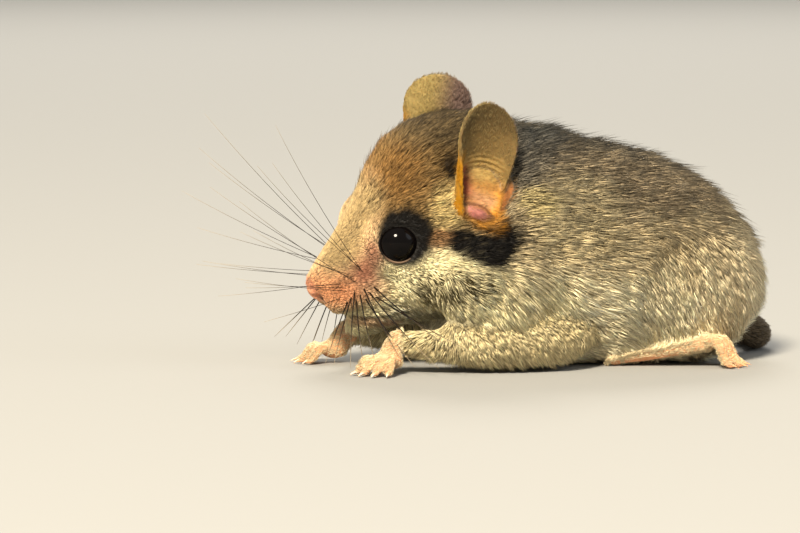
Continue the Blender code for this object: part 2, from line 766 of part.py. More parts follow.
def ear_shell(side):
    """A sheet bent round its height, tightest at the root, with its front edge folded in."""
    up, front, out = ear_axes(side)
    root = on_head(EAR_ROOT, side)
    bm = bmesh.new()
    grid = []
    for row in range(EAR_ROWS + 1):
        share = math.sin(math.pi / 2 * row / EAR_ROWS)
        half_width = max(ear_half_width(share), EAR_TIP_HALF_WIDTH)
        bend = math.radians(between((EAR_ROOT_BEND, EAR_TIP_BEND), min(1.0, share / EAR_OPENS_UNTIL)))
        radius = half_width / bend
        if share > EAR_WIDEST_AT:
            radius = EAR_HALF_WIDTH / bend
        line = []
        for column in range(EAR_COLUMNS + 1):
            across = 2 * column / EAR_COLUMNS - 1
            angle = across * half_width / radius
            fold = max(0.0, across - EAR_FOLD_STARTS) * EAR_FRONT_FOLD * (1 - share)
            point = root + up * (EAR_HEIGHT * share - EAR_ROOT_DEPTH * (1 - share))
            point += front * (math.sin(angle) * radius - fold)
            point += out * ((1 - math.cos(angle)) * radius + fold * EAR_FOLD_TURNS_OUT - EAR_TIP_CURLS_BACK * share**2)
            ahead = max(0.0, across) ** 2 * (1 - share) ** 2
            behind = max(0.0, -across) ** 2 * (1 - share) ** 2
            point += up * (EAR_FRONT_EDGE_LIFT * ahead - EAR_REAR_EDGE_DROP * behind)
            point += front * EAR_REAR_EDGE_TUCK * behind - out * EAR_EDGES_SINK * (ahead + behind)
            line.append(bm.verts.new(point))
        grid.append(line)
    for low, high in zip(grid, grid[1:]):
        for i in range(EAR_COLUMNS):
            bm.faces.new((low[i], low[i + 1], high[i + 1], high[i]))
    bmesh.ops.triangulate(bm, faces=bm.faces)
    bmesh.ops.recalc_face_normals(bm, faces=bm.faces)
    ear = new_object(f"ear_{side}", bm)
    wall = ear.modifiers.new("wall", "SOLIDIFY")
    wall.thickness = EAR_THICKNESS
    wall.offset = 0.0
    return baked(ear)


def ear_hole(surface, side):
    """The hollow at the bottom of the ear's cup, half sunk in the head."""
    up, front, out = ear_axes(side)
    height, depth = EAR_HOLE_PLACE
    middle = surface.find_nearest(on_head(EAR_ROOT, side) + (up * height + out * depth) * MM)[0]
    turned = Matrix((front, up, out)).transposed().to_4x4()
    return ellipsoid("hole", Matrix.Translation(middle) @ turned, millimetres(EAR_HOLE_RADII), 2)


# Whiskers: a fan on each side, from up and forward to down and back.
def whisker(root, side, share, dice):
    swing = between(WHISKER_SWING, share)
    lift = between(WHISKER_LIFT, share)
    length = between((WHISKER_LONGEST, WHISKER_SHORTEST), share + dice.uniform(-0.2, 0.2))
    lowest = math.asin(max(-0.9, (WHISKER_FLOOR_CLEARANCE - root.z) / length))
    lift = max(lift, lowest)
    aim = Vector((-math.sin(swing) * math.cos(lift), SIDES[side] * math.cos(swing) * math.cos(lift), math.sin(lift)))
    bend = Vector(WHISKER_BEND) * length
    path = [root + aim * length * t + bend * t * t for t in WHISKER_STEPS]
    radii = [between((WHISKER_ROOT_RADIUS, WHISKER_TIP_RADIUS), t) for t in WHISKER_STEPS]
    return tube("whisker", path, radii, radii, count=4)


def grow_whiskers(pad, side, dice):
    (back, outward, height), (long_radius, depth, high_radius) = WHISKER_PAD
    hairs = []
    for i in range(WHISKERS_PER_SIDE):
        share = i / (WHISKERS_PER_SIDE - 1)
        spot = (
            back + long_radius * WHISKER_FIELD[0] * math.sin(WHISKER_ROOT_TURN * i),
            outward - depth * WHISKER_ROOT_SUNK,
            height + high_radius * WHISKER_FIELD[1] * (1 - 2 * share),
        )
        hairs.append(whisker(on_head(spot, side), side, share, dice))
    return merge_all(pad, hairs)


# The tail.
def tail_lengths():
    path = smooth_path([millimetres(point) for point in TAIL_PATH], 3)
    radii = [radius * MM for radius in spread_over(TAIL_RADII, 3)]
    cuts = [round(share * (len(path) - 1)) for share in TAIL_CUTS]
    parts = []
    whole = tube("tail", path, radii, radii, count=12)
    for name, start, end in (
        ("tail_base", None, cuts[0]), ("tail_middle", cuts[0], cuts[1]), ("tail_brush", cuts[1], None),
    ):
        part = copy_of(whole, name)
        for index, way in ((start, 1), (end, -1)):
            if index is None:
                continue
            along = (path[index + 1] - path[index - 1]).normalized() * way
            keep_side(part, path[index] + along * GAP / 2, along)
            largest_shell(part)
        parts.append(part)
    discard(whole)
    return (*parts, path[cuts[1]:])


def brush_lock(path, spot, turn, length, dice):
    """One flat tapered lock that leaves the tail at a low angle and bends back along it."""
    index = min(int(spot * (len(path) - 1)), len(path) - 2)
    root = path[index].lerp(path[index + 1], spot * (len(path) - 1) - index)
    along = (path[index + 1] - path[index]).normalized()
    side = along.cross(Z_AXIS).normalized()
    away = side * math.cos(turn) + Z_AXIS * math.sin(turn) * BRUSH_FLATNESS
    ahead = along * length
    line = []
    for share, _, _ in BRUSH_LOCK_RINGS:
        stands_off = away * length * BRUSH_STANDS_OFF * math.sin(share * BRUSH_LOCK_CURVE)
        point = root + ahead * share + stands_off
        point.z = max(point.z, BRUSH_FLOOR_CLEARANCE)
        line.append(point)
    wide = [BRUSH_LOCK_HALF_WIDTH * MM * share for _, share, _ in BRUSH_LOCK_RINGS]
    high = [BRUSH_LOCK_HALF_THICKNESS * MM * share for _, _, share in BRUSH_LOCK_RINGS]
    rise = Z_AXIS + away * dice.uniform(-BRUSH_UNEVENNESS, BRUSH_UNEVENNESS)
    return tube("lock", line, wide, high, rise=rise, count=4)


def grow_brush(tail, path, dice):
    locks = []
    for i in range(BRUSH_LOCKS):
        spot = BRUSH_STARTS + BRUSH_COVERS * (i / BRUSH_LOCKS) ** BRUSH_CROWDING
        turn = i * BRUSH_TURN + dice.uniform(-BRUSH_UNEVENNESS, BRUSH_UNEVENNESS)
        length = dice.uniform(*BRUSH_LOCK_LENGTH) * MM
        locks.append(brush_lock(path, spot, turn, length, dice))
    return merge_all(tail, locks)


def surface_of(obj):
    return BVHTree.FromPolygons(
        [vert.co.copy() for vert in obj.data.vertices], [tuple(face.vertices) for face in obj.data.polygons],
    )


def finish(obj):
    """Shades the piece smooth and gives it its own material."""
    kind = next(start for start in FINISHES if obj.name.startswith(start))
    colour, roughness = FINISHES[kind]
    obj.data.shade_smooth()
    obj.data.set_sharp_from_angle(angle=SHARP_ANGLE)
    material = bpy.data.materials.new(obj.name)
    material.use_nodes = True
    shader = material.node_tree.nodes["Principled BSDF"]
    shader.inputs["Base Color"].default_value = (*colour, 1.0)
    shader.inputs["Roughness"].default_value = roughness
    shader.inputs["Metallic"].default_value = 0.0
    obj.data.materials.clear()
    obj.data.materials.append(material)


def build():
    dice = random.Random(7)
    trunk = whole_body("torso", VOXEL_TRUNK, 4, KEEP_TRUNK)
    head = whole_body("head", VOXEL_HEAD, 12, KEEP_HEAD)

    # Forelegs and hind legs come out of the trunk first, then the neck is parted from what is left.
    for side in SIDES:
        foreleg = take_out(trunk, lambda extra: foreleg_region(side, extra), f"foreleg_{side}")
        point, forward = wrist(side)
        keep_side(foreleg, point - forward * GAP / 2, -forward)
        take_out(trunk, lambda extra: hind_leg_region(side, extra), f"hind_leg_{side}")
        combine(head, foreleg_region(side, GAP), "DIFFERENCE")
    neck = copy_of(trunk, "neck")
    point, normal = cut_plane(HEAD_CUT, -GAP)
    keep_side(neck, point, -normal)
    point, normal = cut_plane(NECK_CUT)
    keep_side(neck, point, normal)
    largest_shell(neck)
    keep_side(trunk, point - normal * GAP, -normal)
    largest_shell(trunk)
    point, normal = cut_plane(HEAD_CUT)
    keep_side(head, point, normal)
    largest_shell(head)

    # Eyes, lids and the mouth line.
    groove = mouth_groove(surface_of(head))
    for side in SIDES:
        combine(head, lid_ring(side), "UNION")
        combine(head, eyeball("socket", side, EYE_RADIUS + GAP), "DIFFERENCE")
        eyeball(f"eye_{side}", side, EYE_RADIUS)
    combine(head, groove, "DIFFERENCE")
    largest_shell(head)

    # The nose pad and the whisker pads are cut from the head's own surface, and the ears stand on it.
    nose = take_out(head, lambda extra: head_region(NOSE_PAD, "right", extra), "nose")
    for side in SIDES:
        combine(nose, head_region(NOSTRIL, side, 0.0), "DIFFERENCE")
        pad = take_out(head, lambda extra: head_region(WHISKER_PAD, side, extra), f"whisker_pad_{side}")
        grow_whiskers(pad, side, dice)
        ear = combine(ear_shell(side), swollen(head), "DIFFERENCE")
        largest_shell(ear)
    surface = surface_of(head)
    for side in SIDES:
        combine(head, ear_hole(surface, side), "DIFFERENCE")
    largest_shell(head)

    for side in SIDES:
        paw = forepaw(side)
        point, forward = wrist(side)
        keep_side(paw, point + forward * GAP / 2, forward)
        largest_shell(paw)
        foot = hind_foot(side)
        for owner in (bpy.data.objects[f"hind_leg_{side}"], trunk):
            combine(owner, swollen(foot), "DIFFERENCE")
            largest_shell(owner)

    base, middle, brush, brush_path = tail_lengths()
    combine(base, swollen(trunk), "DIFFERENCE")
    largest_shell(base)
    grow_brush(brush, brush_path, dice)
    for length in (base, middle, brush):
        cut_at_floor(length)
    for obj in bpy.data.objects:
        finish(obj)


build()
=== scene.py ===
import math

import bmesh
import bpy
import numpy as np
from mathutils import Matrix, Vector, kdtree
from mathutils.bvhtree import BVHTree


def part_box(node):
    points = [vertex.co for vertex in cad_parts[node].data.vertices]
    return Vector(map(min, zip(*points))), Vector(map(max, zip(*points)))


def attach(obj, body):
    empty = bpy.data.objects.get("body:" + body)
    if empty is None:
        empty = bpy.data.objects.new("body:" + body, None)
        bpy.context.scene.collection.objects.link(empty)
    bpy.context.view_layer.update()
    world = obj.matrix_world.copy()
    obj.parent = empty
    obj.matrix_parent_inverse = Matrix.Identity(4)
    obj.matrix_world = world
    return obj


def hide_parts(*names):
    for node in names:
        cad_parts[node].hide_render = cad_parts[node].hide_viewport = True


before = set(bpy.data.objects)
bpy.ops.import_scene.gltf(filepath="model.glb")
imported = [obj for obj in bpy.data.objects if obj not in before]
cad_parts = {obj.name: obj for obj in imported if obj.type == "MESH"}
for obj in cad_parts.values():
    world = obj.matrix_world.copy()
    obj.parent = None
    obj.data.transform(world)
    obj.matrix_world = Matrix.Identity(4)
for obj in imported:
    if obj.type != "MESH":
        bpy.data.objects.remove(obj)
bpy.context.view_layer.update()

scene = bpy.context.scene
MM = 0.001

# The camera looks at the animal's left side from a little ahead of it, at the photo's angle and framing.
# The origin, the middle of the belly's flat, lies at its place in the frame, given as shares of the frame.
VIEW_AZIMUTH = -20
VIEW_ELEVATION = 5
VIEW_DISTANCE = 0.73
FRAME_WIDTH = 0.132
FRAME_SHAPE = 533 / 800
ORIGIN_ACROSS = 0.70
ORIGIN_DOWN = 0.675
SENSOR_WIDTH = 36.0


def direction(azimuth, elevation):
    """Towards the camera or a light that stands at that azimuth and elevation, in degrees."""
    azimuth, elevation = math.radians(azimuth), math.radians(elevation)
    return Vector((
        math.sin(azimuth) * math.cos(elevation),
        -math.cos(azimuth) * math.cos(elevation),
        math.sin(elevation),
    ))


def add_object(name, data):
    obj = bpy.data.objects.new(name, data)
    scene.collection.objects.link(obj)
    return obj


to_camera = direction(VIEW_AZIMUTH, VIEW_ELEVATION)
turn = (-to_camera).to_track_quat("-Z", "Y")
middle_of_view = turn @ Vector((
    (0.5 - ORIGIN_ACROSS) * FRAME_WIDTH,
    (ORIGIN_DOWN - 0.5) * FRAME_WIDTH * FRAME_SHAPE,
    0,
))
camera_data = bpy.data.cameras.new("photo_camera")
camera_data.sensor_width = SENSOR_WIDTH
camera_data.lens = SENSOR_WIDTH * VIEW_DISTANCE / FRAME_WIDTH
camera = add_object("photo_camera", camera_data)
camera.rotation_mode = "QUATERNION"
camera.rotation_quaternion = turn
camera.location = middle_of_view + to_camera * VIEW_DISTANCE
scene.camera = camera
scene.view_settings.view_transform = "Standard"

# Where the head lies: its own axes, level from nose to ears, with the middle between the eyes as their
# origin. They come from the eyes' solids. Places on the head are (back, outward, up) in millimetres.


def middle_of(node):
    low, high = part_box(node)
    return (low + high) / 2


eyes = {side: middle_of(f"eye_{side}") for side in ("left", "right")}
SIDES = {"left": -1, "right": 1}
brow_middle = (eyes["left"] + eyes["right"]) / 2
head_right = (eyes["right"] - eyes["left"]).normalized()
head_back = (Vector((1, 0, 0)) - head_right * head_right.x).normalized()
head_up = head_back.cross(head_right)
HEAD_AXES = np.array([head_back, head_right, head_up])


def head_places(points):
    """Points of the frame as (back, outward, up) on the head, in millimetres, whichever side they are on."""
    places = (points - np.array(brow_middle)) @ HEAD_AXES.T / MM
    places[:, 1] = np.abs(places[:, 1])
    return places


def halves_of(points):
    """Which of the points lie on the left of the head's middle plane, and which on its right."""
    right = (points - np.array(brow_middle)) @ np.array(head_right) > 0
    return {"left": ~right, "right": right}


def on_head(back, outward, up, side):
    return brow_middle + (head_back * back + head_right * outward * SIDES[side] + head_up * up) * MM


# The skin: the young animal's thin soft hide, bare on the nose and paws and in the ears. It is one closed
# surface: the flesh solids are swollen until they meet, made one by a fine remesh, eased, and drawn in by
# the depth of the coat, so that the coat ends where the solids do.
SWELL = 0.2 * MM
SKIN_VOXEL = 0.31 * MM
SKIN_FACES = 172000
NODES_OF = {
    "head": ("head",),
    "nose": ("nose",),
    "muzzle_pad": ("whisker_pad_left", "whisker_pad_right"),
    "ear": ("ear_left", "ear_right"),
    "neck": ("neck",),
    "torso": ("torso",),
    "foreleg": ("foreleg_left", "foreleg_right"),
    "forepaw": ("forepaw_left", "forepaw_right"),
    "hind_leg": ("hind_leg_left", "hind_leg_right"),
    "hind_foot": ("hind_foot_left", "hind_foot_right"),
    "tail": ("tail_base", "tail_middle"),
}
PARTS = list(NODES_OF)
# How deep the coat is over each part, and how far the blur between two parts' coats reaches.
COAT_DEPTH = {
    "head": 0.75, "nose": 0.0, "muzzle_pad": 0.35, "ear": 0.12, "neck": 1.1, "torso": 1.25,
    "foreleg": 0.75, "forepaw": 0.0, "hind_leg": 1.1, "hind_foot": 0.0, "tail": 0.5,
}
BLUR_ROUNDS = 30
# The whisker pads' solids carry whiskers. Only the pad itself, this near its middle, goes into the skin.
PAD_MIDDLE = (-6.3, 4.6, -10.1)
PAD_REACH = 3.6 * MM
# The core of the tail's brush, in the solids' frame: from the middle length's end to the tip.
BRUSH_CORE = ((24.5, 30.2, 2.2), (20.0, 32.0, 2.1), (10.5, 34.4, 2.0), (0.5, 35.6, 1.9), (-5.0, 36.1, 1.8))
BRUSH_CORE_RADII = (1.9, 1.8, 1.5, 1.1, 0.6)


def merged_copy(node):
    bm = bmesh.new()
    bm.from_mesh(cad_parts[node].data)
    bmesh.ops.remove_doubles(bm, verts=bm.verts, dist=0.001 * MM)
    bm.normal_update()
    return bm


def limb(points, radii, sides=12):
    """A closed tapering tube through the points: rings joined by bridge_loops, with both ends filled."""
    bm = bmesh.new()
    rings = []
    for index, point in enumerate(points):
        along = points[min(index + 1, len(points) - 1)] - points[max(index - 1, 0)]
        place = Matrix.Translation(point) @ along.to_track_quat("Z", "Y").to_matrix().to_4x4()
        ring = bmesh.ops.create_circle(bm, cap_ends=False, radius=radii[index], segments=sides, matrix=place)
        rings.append(list({edge for vert in ring["verts"] for edge in vert.link_edges}))
    ends = rings[0], rings[-1]
    for before, after in zip(rings, rings[1:]):
        bmesh.ops.bridge_loops(bm, edges=before + after)
    for end in ends:
        bmesh.ops.holes_fill(bm, edges=end)
    bmesh.ops.recalc_face_normals(bm, faces=bm.faces)
    bm.normal_update()
    return bm


def apply_modifiers(obj):
    graph = bpy.context.evaluated_depsgraph_get()
    mesh = bpy.data.meshes.new_from_object(obj.evaluated_get(graph))
    obj.modifiers.clear()
    obj.data = mesh


flesh_points = []
flesh_faces = []
face_parts = []


def add_flesh(bm, part):
    """Adds the mesh to the flesh as a piece of that part, each point moved out along its normal."""
    bm.verts.index_update()
    offset = len(flesh_points)
    flesh_points.extend(vert.co + vert.normal * SWELL for vert in bm.verts)
    flesh_faces.extend([vert.index + offset for vert in face.verts] for face in bm.faces)
    face_parts.extend([PARTS.index(part)] * len(bm.faces))
    bm.free()


for part, nodes in NODES_OF.items():
    for node in nodes:
        bm = merged_copy(node)
        if part == "muzzle_pad":
            pad = on_head(*PAD_MIDDLE, node.rsplit("_", 1)[1])
            far = [vert for vert in bm.verts if (vert.co - pad).length > PAD_REACH]
            bmesh.ops.delete(bm, geom=far, context="VERTS")
            hull = bmesh.ops.convex_hull(bm, input=bm.verts)
            bmesh.ops.delete(bm, geom=hull["geom_interior"], context="VERTS")
            bmesh.ops.recalc_face_normals(bm, faces=bm.faces)
            bm.normal_update()
        add_flesh(bm, part)
core = limb([Vector(point) * MM for point in BRUSH_CORE], [radius * MM for radius in BRUSH_CORE_RADII])
add_flesh(core, "tail")

skin_mesh = bpy.data.meshes.new("skin")
skin_mesh.from_pydata(flesh_points, [], flesh_faces)
skin = add_object("skin", skin_mesh)
remesh = skin.modifiers.new("one surface", "REMESH")
remesh.mode = "VOXEL"
remesh.voxel_size = SKIN_VOXEL
ease = skin.modifiers.new("ease", "SMOOTH")
ease.factor = 0.5
ease.iterations = 3
apply_modifiers(skin)

# Each point of the skin belongs to the part whose solid is nearest. Blurred, these shares let one part's
# coat run into the next with no edge.


def values_of(items, name, width, kind=np.float64):
    """One value of each of a mesh's points, edges or corners, as rows of that width."""
    flat = np.empty(len(items) * width, kind)
    items.foreach_get(name, flat)
    return flat.reshape(-1, width)


def points_of(mesh):
    return values_of(mesh.vertices, "co", 3)


def normals_of(mesh):
    return values_of(mesh.vertex_normals, "vector", 3)


def edges_of(mesh):
    return values_of(mesh.edges, "vertices", 2, np.int32)


def blurred(values, edges, rounds):
    """Each point's values averaged with its neighbours', round after round."""
    count = len(values)
    ends = np.concatenate((edges[:, 0], edges[:, 1]))
    others = np.concatenate((edges[:, 1], edges[:, 0]))
    neighbours = np.maximum(np.bincount(ends, minlength=count), 1)
    for _ in range(rounds):
        for column in range(values.shape[1]):
            total = np.bincount(ends, weights=values[others, column], minlength=count)
            values[:, column] = (values[:, column] + total / neighbours) / 2
    return values


nearest_part = BVHTree.FromPolygons(flesh_points, flesh_faces)
skin_points = points_of(skin.data)
skin_edges = edges_of(skin.data)
shares = np.zeros((len(skin_points), len(PARTS)))
for index, point in enumerate(skin_points):
    shares[index, face_parts[nearest_part.find_nearest(point)[2]]] = 1.0
own_part = shares.argmax(axis=1)
shares = blurred(shares, skin_edges, BLUR_ROUNDS)


def rise(values, low, high):
    """From 0 at low to 1 at high, smoothly. Low may be the larger."""
    share = np.clip((values - low) / (high - low), 0.0, 1.0)
    return share * share * (3 - 2 * share)


def band(values, start, full, still_full, end):
    """1 from full to still_full, fading to 0 at start and at end."""
    return rise(values, start, full) * rise(values, end, still_full)


def spot(places, centre, radii, soft=0.35):
    """1 inside an ellipsoid, 0 outside it, with a soft edge."""
    distance = np.linalg.norm((places - np.array(centre)) / np.array(radii), axis=1)
    return rise(distance, 1 + soft, 1 - soft)


# The ears' own axes: places on an ear are (up it, towards its front edge, out of its cup) in millimetres.
EAR_ROOT = (10.2, 8.5, 3.8)
EAR_LEANS_OUT = {"left": math.radians(14), "right": math.radians(3)}
EAR_LEANS_BACK = math.radians(7)
EAR_FACES_FORWARD = math.radians(-14)
# The head's skin at the bottom of the cup, within these places across it, up it and out of it.
CUP_BOTTOM_ACROSS = (-6.2, -5.6, 3.7, 4.3)
CUP_BOTTOM_TOP = (15.0, 14.0)
CUP_BOTTOM_OUT = (-1.6, -0.8, 8.0, 9.0)


def ear_axes(side):
    """Up the ear, across it towards its front edge, and out of its cup."""
    up = head_up + head_back * math.sin(EAR_LEANS_BACK)
    up += head_right * SIDES[side] * math.sin(EAR_LEANS_OUT[side])
    up.normalize()
    faces = head_right * SIDES[side] * math.cos(EAR_FACES_FORWARD) - head_back * math.sin(EAR_FACES_FORWARD)
    out = (faces - up * faces.dot(up)).normalized()
    front = up.cross(out) * SIDES[side]
    return np.array(up), np.array(front), np.array(out)


def ear_places(points):
    """Each point as (up the ear, towards its front edge, out of its cup) in millimetres, on its own side."""
    found = np.empty_like(points)
    for side, chosen in halves_of(points).items():
        root = np.array(on_head(*EAR_ROOT, side))
        found[chosen] = (points[chosen] - root) @ np.array(ear_axes(side)).T / MM
    return found


def ear_facing(points, normals):
    """How far each point's surface faces out of the cup, from -1 to 1."""
    found = np.empty(len(points))
    for side, chosen in halves_of(points).items():
        found[chosen] = normals[chosen] @ ear_axes(side)[2]
    return found


def part_share(shares, *parts):
    return shares[:, [PARTS.index(part) for part in parts]].sum(axis=1)


def in_cup(points, normals, shares):
    """1 inside an ear: on the ear's inner face, and on the head's skin at the bottom of its cup."""
    on_ear = rise(part_share(shares, "ear"), 0.3, 0.6)
    facing = ear_facing(points, normals)
    tall, forward, out = ear_places(points).T
    low = 1.5 + 0.13 * (forward - 0.6) ** 2
    bottom = band(forward, *CUP_BOTTOM_ACROSS) * rise(tall, low, low + 0.6) * rise(tall, *CUP_BOTTOM_TOP)
    bottom *= band(out, *CUP_BOTTOM_OUT) * rise(facing, 0.0, 0.3)
    return np.maximum(bottom * (1 - on_ear), on_ear * rise(facing, -0.15, 0.25))


# Round the eyes, in the ears and on the muzzle the coat is so short that the skin lies close under the
# solids' surface.
EYE_RADIUS = 3.5
EYE_CENTRE = (0.0, 7.3, 0.0)
CUP_DEPTH = 0.12
NO_DEPTH_NEAR_EYE = (4.6, 7.0)
MUZZLE_REACH = (-2.0, -11.0)
MUZZLE_DEPTH = 0.3

places = head_places(skin_points)
depth = shares @ np.array([COAT_DEPTH[part] for part in PARTS])
muzzle = rise(places[:, 0], *MUZZLE_REACH)
depth = np.where(own_part == PARTS.index("head"), depth + (MUZZLE_DEPTH - depth) * muzzle, depth)
from_eye = np.linalg.norm(places - np.array(EYE_CENTRE), axis=1)
depth *= rise(from_eye, *NO_DEPTH_NEAR_EYE)
depth = blurred(depth[:, None].copy(), skin_edges, 6)[:, 0]
skin_normals = normals_of(skin.data)
cup = in_cup(skin_points, skin_normals, shares)
depth += (CUP_DEPTH - depth) * cup
depth = blurred(depth[:, None].copy(), skin_edges, 3)[:, 0]

# Inside the ear: the tragus, a soft fold above it and the rolled rear edge, all of skin and gristle. The
# folds' lines are places (up the ear, towards its front edge), and their heights are in millimetres.
TRAGUS_PLACE = (3.6, 1.1, 5.2)
TRAGUS_RADII = (0.8, 1.45, 2.4)
TRAGUS_HEIGHT = 1.1
LOWER_FOLD = ((6.2, 1.6), (5.4, -2.4))
LOWER_FOLD_HEIGHT = 0.55
REAR_FOLD = ((10.4, -4.6), (7.0, -3.5), (3.8, -1.5))
REAR_FOLD_HEIGHT = 0.35
FOLD_WIDTH = 0.7


def flat_streak(tall, forward, line, radius):
    """1 along a broken line up the ear, seen from the front of its cup, fading to 0 over the radius."""
    found = np.zeros(len(tall))
    for start, end in zip(line, line[1:]):
        way = np.array(end) - np.array(start)
        places = np.c_[tall, forward] - np.array(start)
        along = np.clip(places @ way / (way @ way), 0, 1)
        distance = np.linalg.norm(places - along[:, None] * way, axis=1)
        found = np.maximum(found, np.exp(-((distance / radius) ** 2)))
    return found


tall, forward, out = ear_places(skin_points).T
from_tragus = np.linalg.norm((np.c_[tall, forward, out] - TRAGUS_PLACE) / TRAGUS_RADII, axis=1)
relief = TRAGUS_HEIGHT * np.exp(-from_tragus**2)
relief += LOWER_FOLD_HEIGHT * flat_streak(tall, forward, LOWER_FOLD, FOLD_WIDTH)
relief += REAR_FOLD_HEIGHT * flat_streak(tall, forward, REAR_FOLD, FOLD_WIDTH) * rise(tall, 8.6, 7.0)
relief = blurred((relief * cup)[:, None].copy(), skin_edges, 1)[:, 0]
skin_points = skin_points + skin_normals * ((relief - depth) * MM - SWELL)[:, None]

# The lids lie on the eyeballs: the walls of the sockets are drawn in until they touch.
LID_CLEARANCE = 0.04
LID_REACH = (3.85, 4.35)
for side in SIDES:
    centre = np.array(eyes[side])
    away = skin_points - centre
    distance = np.linalg.norm(away, axis=1) / MM
    seated = EYE_RADIUS + LID_CLEARANCE
    wanted = seated + (distance - seated) * rise(distance, *LID_REACH)
    near = distance < LID_REACH[1]
    skin_points[near] = centre + away[near] * (wanted[near] / distance[near])[:, None]

# The mouth: a narrow groove from under the nose back to each corner, between two low lips. The nostrils:
# a comma on each side of the nose pad, its tail running back.
MOUTH_LINE = (
    (-7.6, 0.0, -12.9), (-5.8, 1.9, -13.6), (-3.2, 3.7, -13.7), (-0.5, 5.2, -13.2), (2.4, 6.9, -12.0),
)
MOUTH_GROOVE_DEPTH = 0.55
MOUTH_GROOVE_WIDTH = 0.34
LIP_RISE = 0.28
LIP_OFFSET = 0.75
LIP_WIDTH = 0.4
NOSTRIL = ((-11.6, 1.1, -10.3), (-11.0, 1.6, -9.9), (-10.3, 1.9, -10.5))
NOSTRIL_DEPTH = 0.8
NOSTRIL_WIDTH = 0.32


def dense_line(points, count):
    """Points spaced along a broken line."""
    points = np.array(points)
    at = np.linspace(0, len(points) - 1, count)
    first = np.minimum(at.astype(int), len(points) - 2)
    return points[first] + (points[first + 1] - points[first]) * (at - first)[:, None]


def seated_line(points, side, tree, count):
    """A line on the head, moved onto the skin."""
    found = []
    for back, outward, up in dense_line(points, count):
        found.append(tree.find_nearest(on_head(back, outward, up, side))[0])
    return np.array(found)


def distance_to(points, line):
    """The distance from each point to the nearest of the line's points, in millimetres."""
    return np.sqrt(((points[:, None, :] - line[None, :, :]) ** 2).sum(axis=2)).min(axis=1) / MM


def skin_tree():
    polygons = [tuple(polygon.vertices) for polygon in skin.data.polygons]
    return BVHTree.FromPolygons([Vector(point) for point in skin_points], polygons)


tree = skin_tree()
front = np.flatnonzero(places[:, 0] < 6.0)
mouth_distance = np.full(len(skin_points), 99.0)
nostril_distance = np.full(len(skin_points), 99.0)
for side in SIDES:
    for line, count, found in ((MOUTH_LINE, 40, mouth_distance), (NOSTRIL, 16, nostril_distance)):
        on_skin = seated_line(line, side, tree, count)
        found[front] = np.minimum(found[front], distance_to(skin_points[front], on_skin))
sink = MOUTH_GROOVE_DEPTH * np.exp(-((mouth_distance / MOUTH_GROOVE_WIDTH) ** 2))
sink -= LIP_RISE * np.exp(-(((mouth_distance - LIP_OFFSET) / LIP_WIDTH) ** 2))
sink += NOSTRIL_DEPTH * np.exp(-((nostril_distance / NOSTRIL_WIDTH) ** 2))
skin_points -= skin_normals * (sink * MM)[:, None]
skin.data.vertices.foreach_set("co", skin_points.ravel())
skin.data.update()

# The body under the coat needs less detail than the face, ears and paws, so only it is thinned.
DETAILED_PARTS = ("ear", "forepaw", "hind_foot", "nose", "muzzle_pad")
detailed = part_share(shares, *DETAILED_PARTS)
detailed = np.maximum(detailed, rise(from_eye, 14.0, 8.0))
may_thin = skin.vertex_groups.new(name="may_thin")
levels = np.round((1 - np.clip(detailed, 0, 1)) * 4) / 4
for level in np.unique(levels[levels > 0]):
    may_thin.add(np.flatnonzero(levels == level).tolist(), float(level), "REPLACE")
skin.data.calc_loop_triangles()
thin = skin.modifiers.new("thin", "DECIMATE")
thin.ratio = SKIN_FACES / len(skin.data.loop_triangles)
thin.vertex_group = "may_thin"
thin.vertex_group_factor = 1.0
skin.modifiers.new("triangles", "TRIANGULATE")
apply_modifiers(skin)
skin.vertex_groups.clear()
before = kdtree.KDTree(len(skin_points))
for index, point in enumerate(skin_points):
    before.insert(point, index)
before.balance()

# Curved ridges run across the ear's inner face, between these places up it and across it. The skin there is
# cut finer, to carry them.
RIDGES_TALL = (7.0, 8.5, 10.4, 12.4)
RIDGES_ACROSS = (-4.6, -2.6, 2.0, 3.4)
RIDGE_SPACING = 0.88
RIDGE_HEIGHT = 0.075
RIDGE_ARCH = 0.06


def ridged_part(points, cup):
    tall, forward, out = ear_places(points).T
    return band(tall, *RIDGES_TALL) * cup * band(forward, *RIDGES_ACROSS)


skin_points = points_of(skin.data)
kept = np.array([before.find(point)[1] for point in skin_points])
weight = ridged_part(skin_points, cup[kept])
bm = bmesh.new()
bm.from_mesh(skin.data)
edges = [edge for edge in bm.edges if min(weight[vert.index] for vert in edge.verts) > 0.01]
bmesh.ops.subdivide_edges(bm, edges=edges, cuts=2, use_grid_fill=True)
bmesh.ops.triangulate(bm, faces=bm.faces)
bm.to_mesh(skin.data)
bm.free()
skin_points = points_of(skin.data)
skin_normals = normals_of(skin.data)
kept = np.array([before.find(point)[1] for point in skin_points])
tall, forward, out = ear_places(skin_points).T
ridges = np.sin(2 * math.pi * (tall + RIDGE_ARCH * (forward + 0.6) ** 2) / RIDGE_SPACING)
ridges *= ridged_part(skin_points, cup[kept]) * RIDGE_HEIGHT
skin_points = skin_points + skin_normals * (ridges * MM)[:, None]
skin.data.vertices.foreach_set("co", skin_points.ravel())
skin.data.update()
shares = shares[kept]
skin_edges = edges_of(skin.data)
skin_normals = normals_of(skin.data)
places = head_places(skin_points)
from_eye = np.linalg.norm(places - np.array(EYE_CENTRE), axis=1)

# The skin's own unwrap, which the tufts of the coat share.
skin.data.uv_layers.new(name="OFBake")
bpy.context.view_layer.objects.active = skin
skin.select_set(True)
bpy.ops.object.mode_set(mode="EDIT")
bpy.ops.mesh.select_all(action="SELECT")
bpy.ops.uv.smart_project(angle_limit=math.radians(70), island_margin=0.002)
bpy.ops.object.mode_set(mode="OBJECT")
skin.select_set(False)

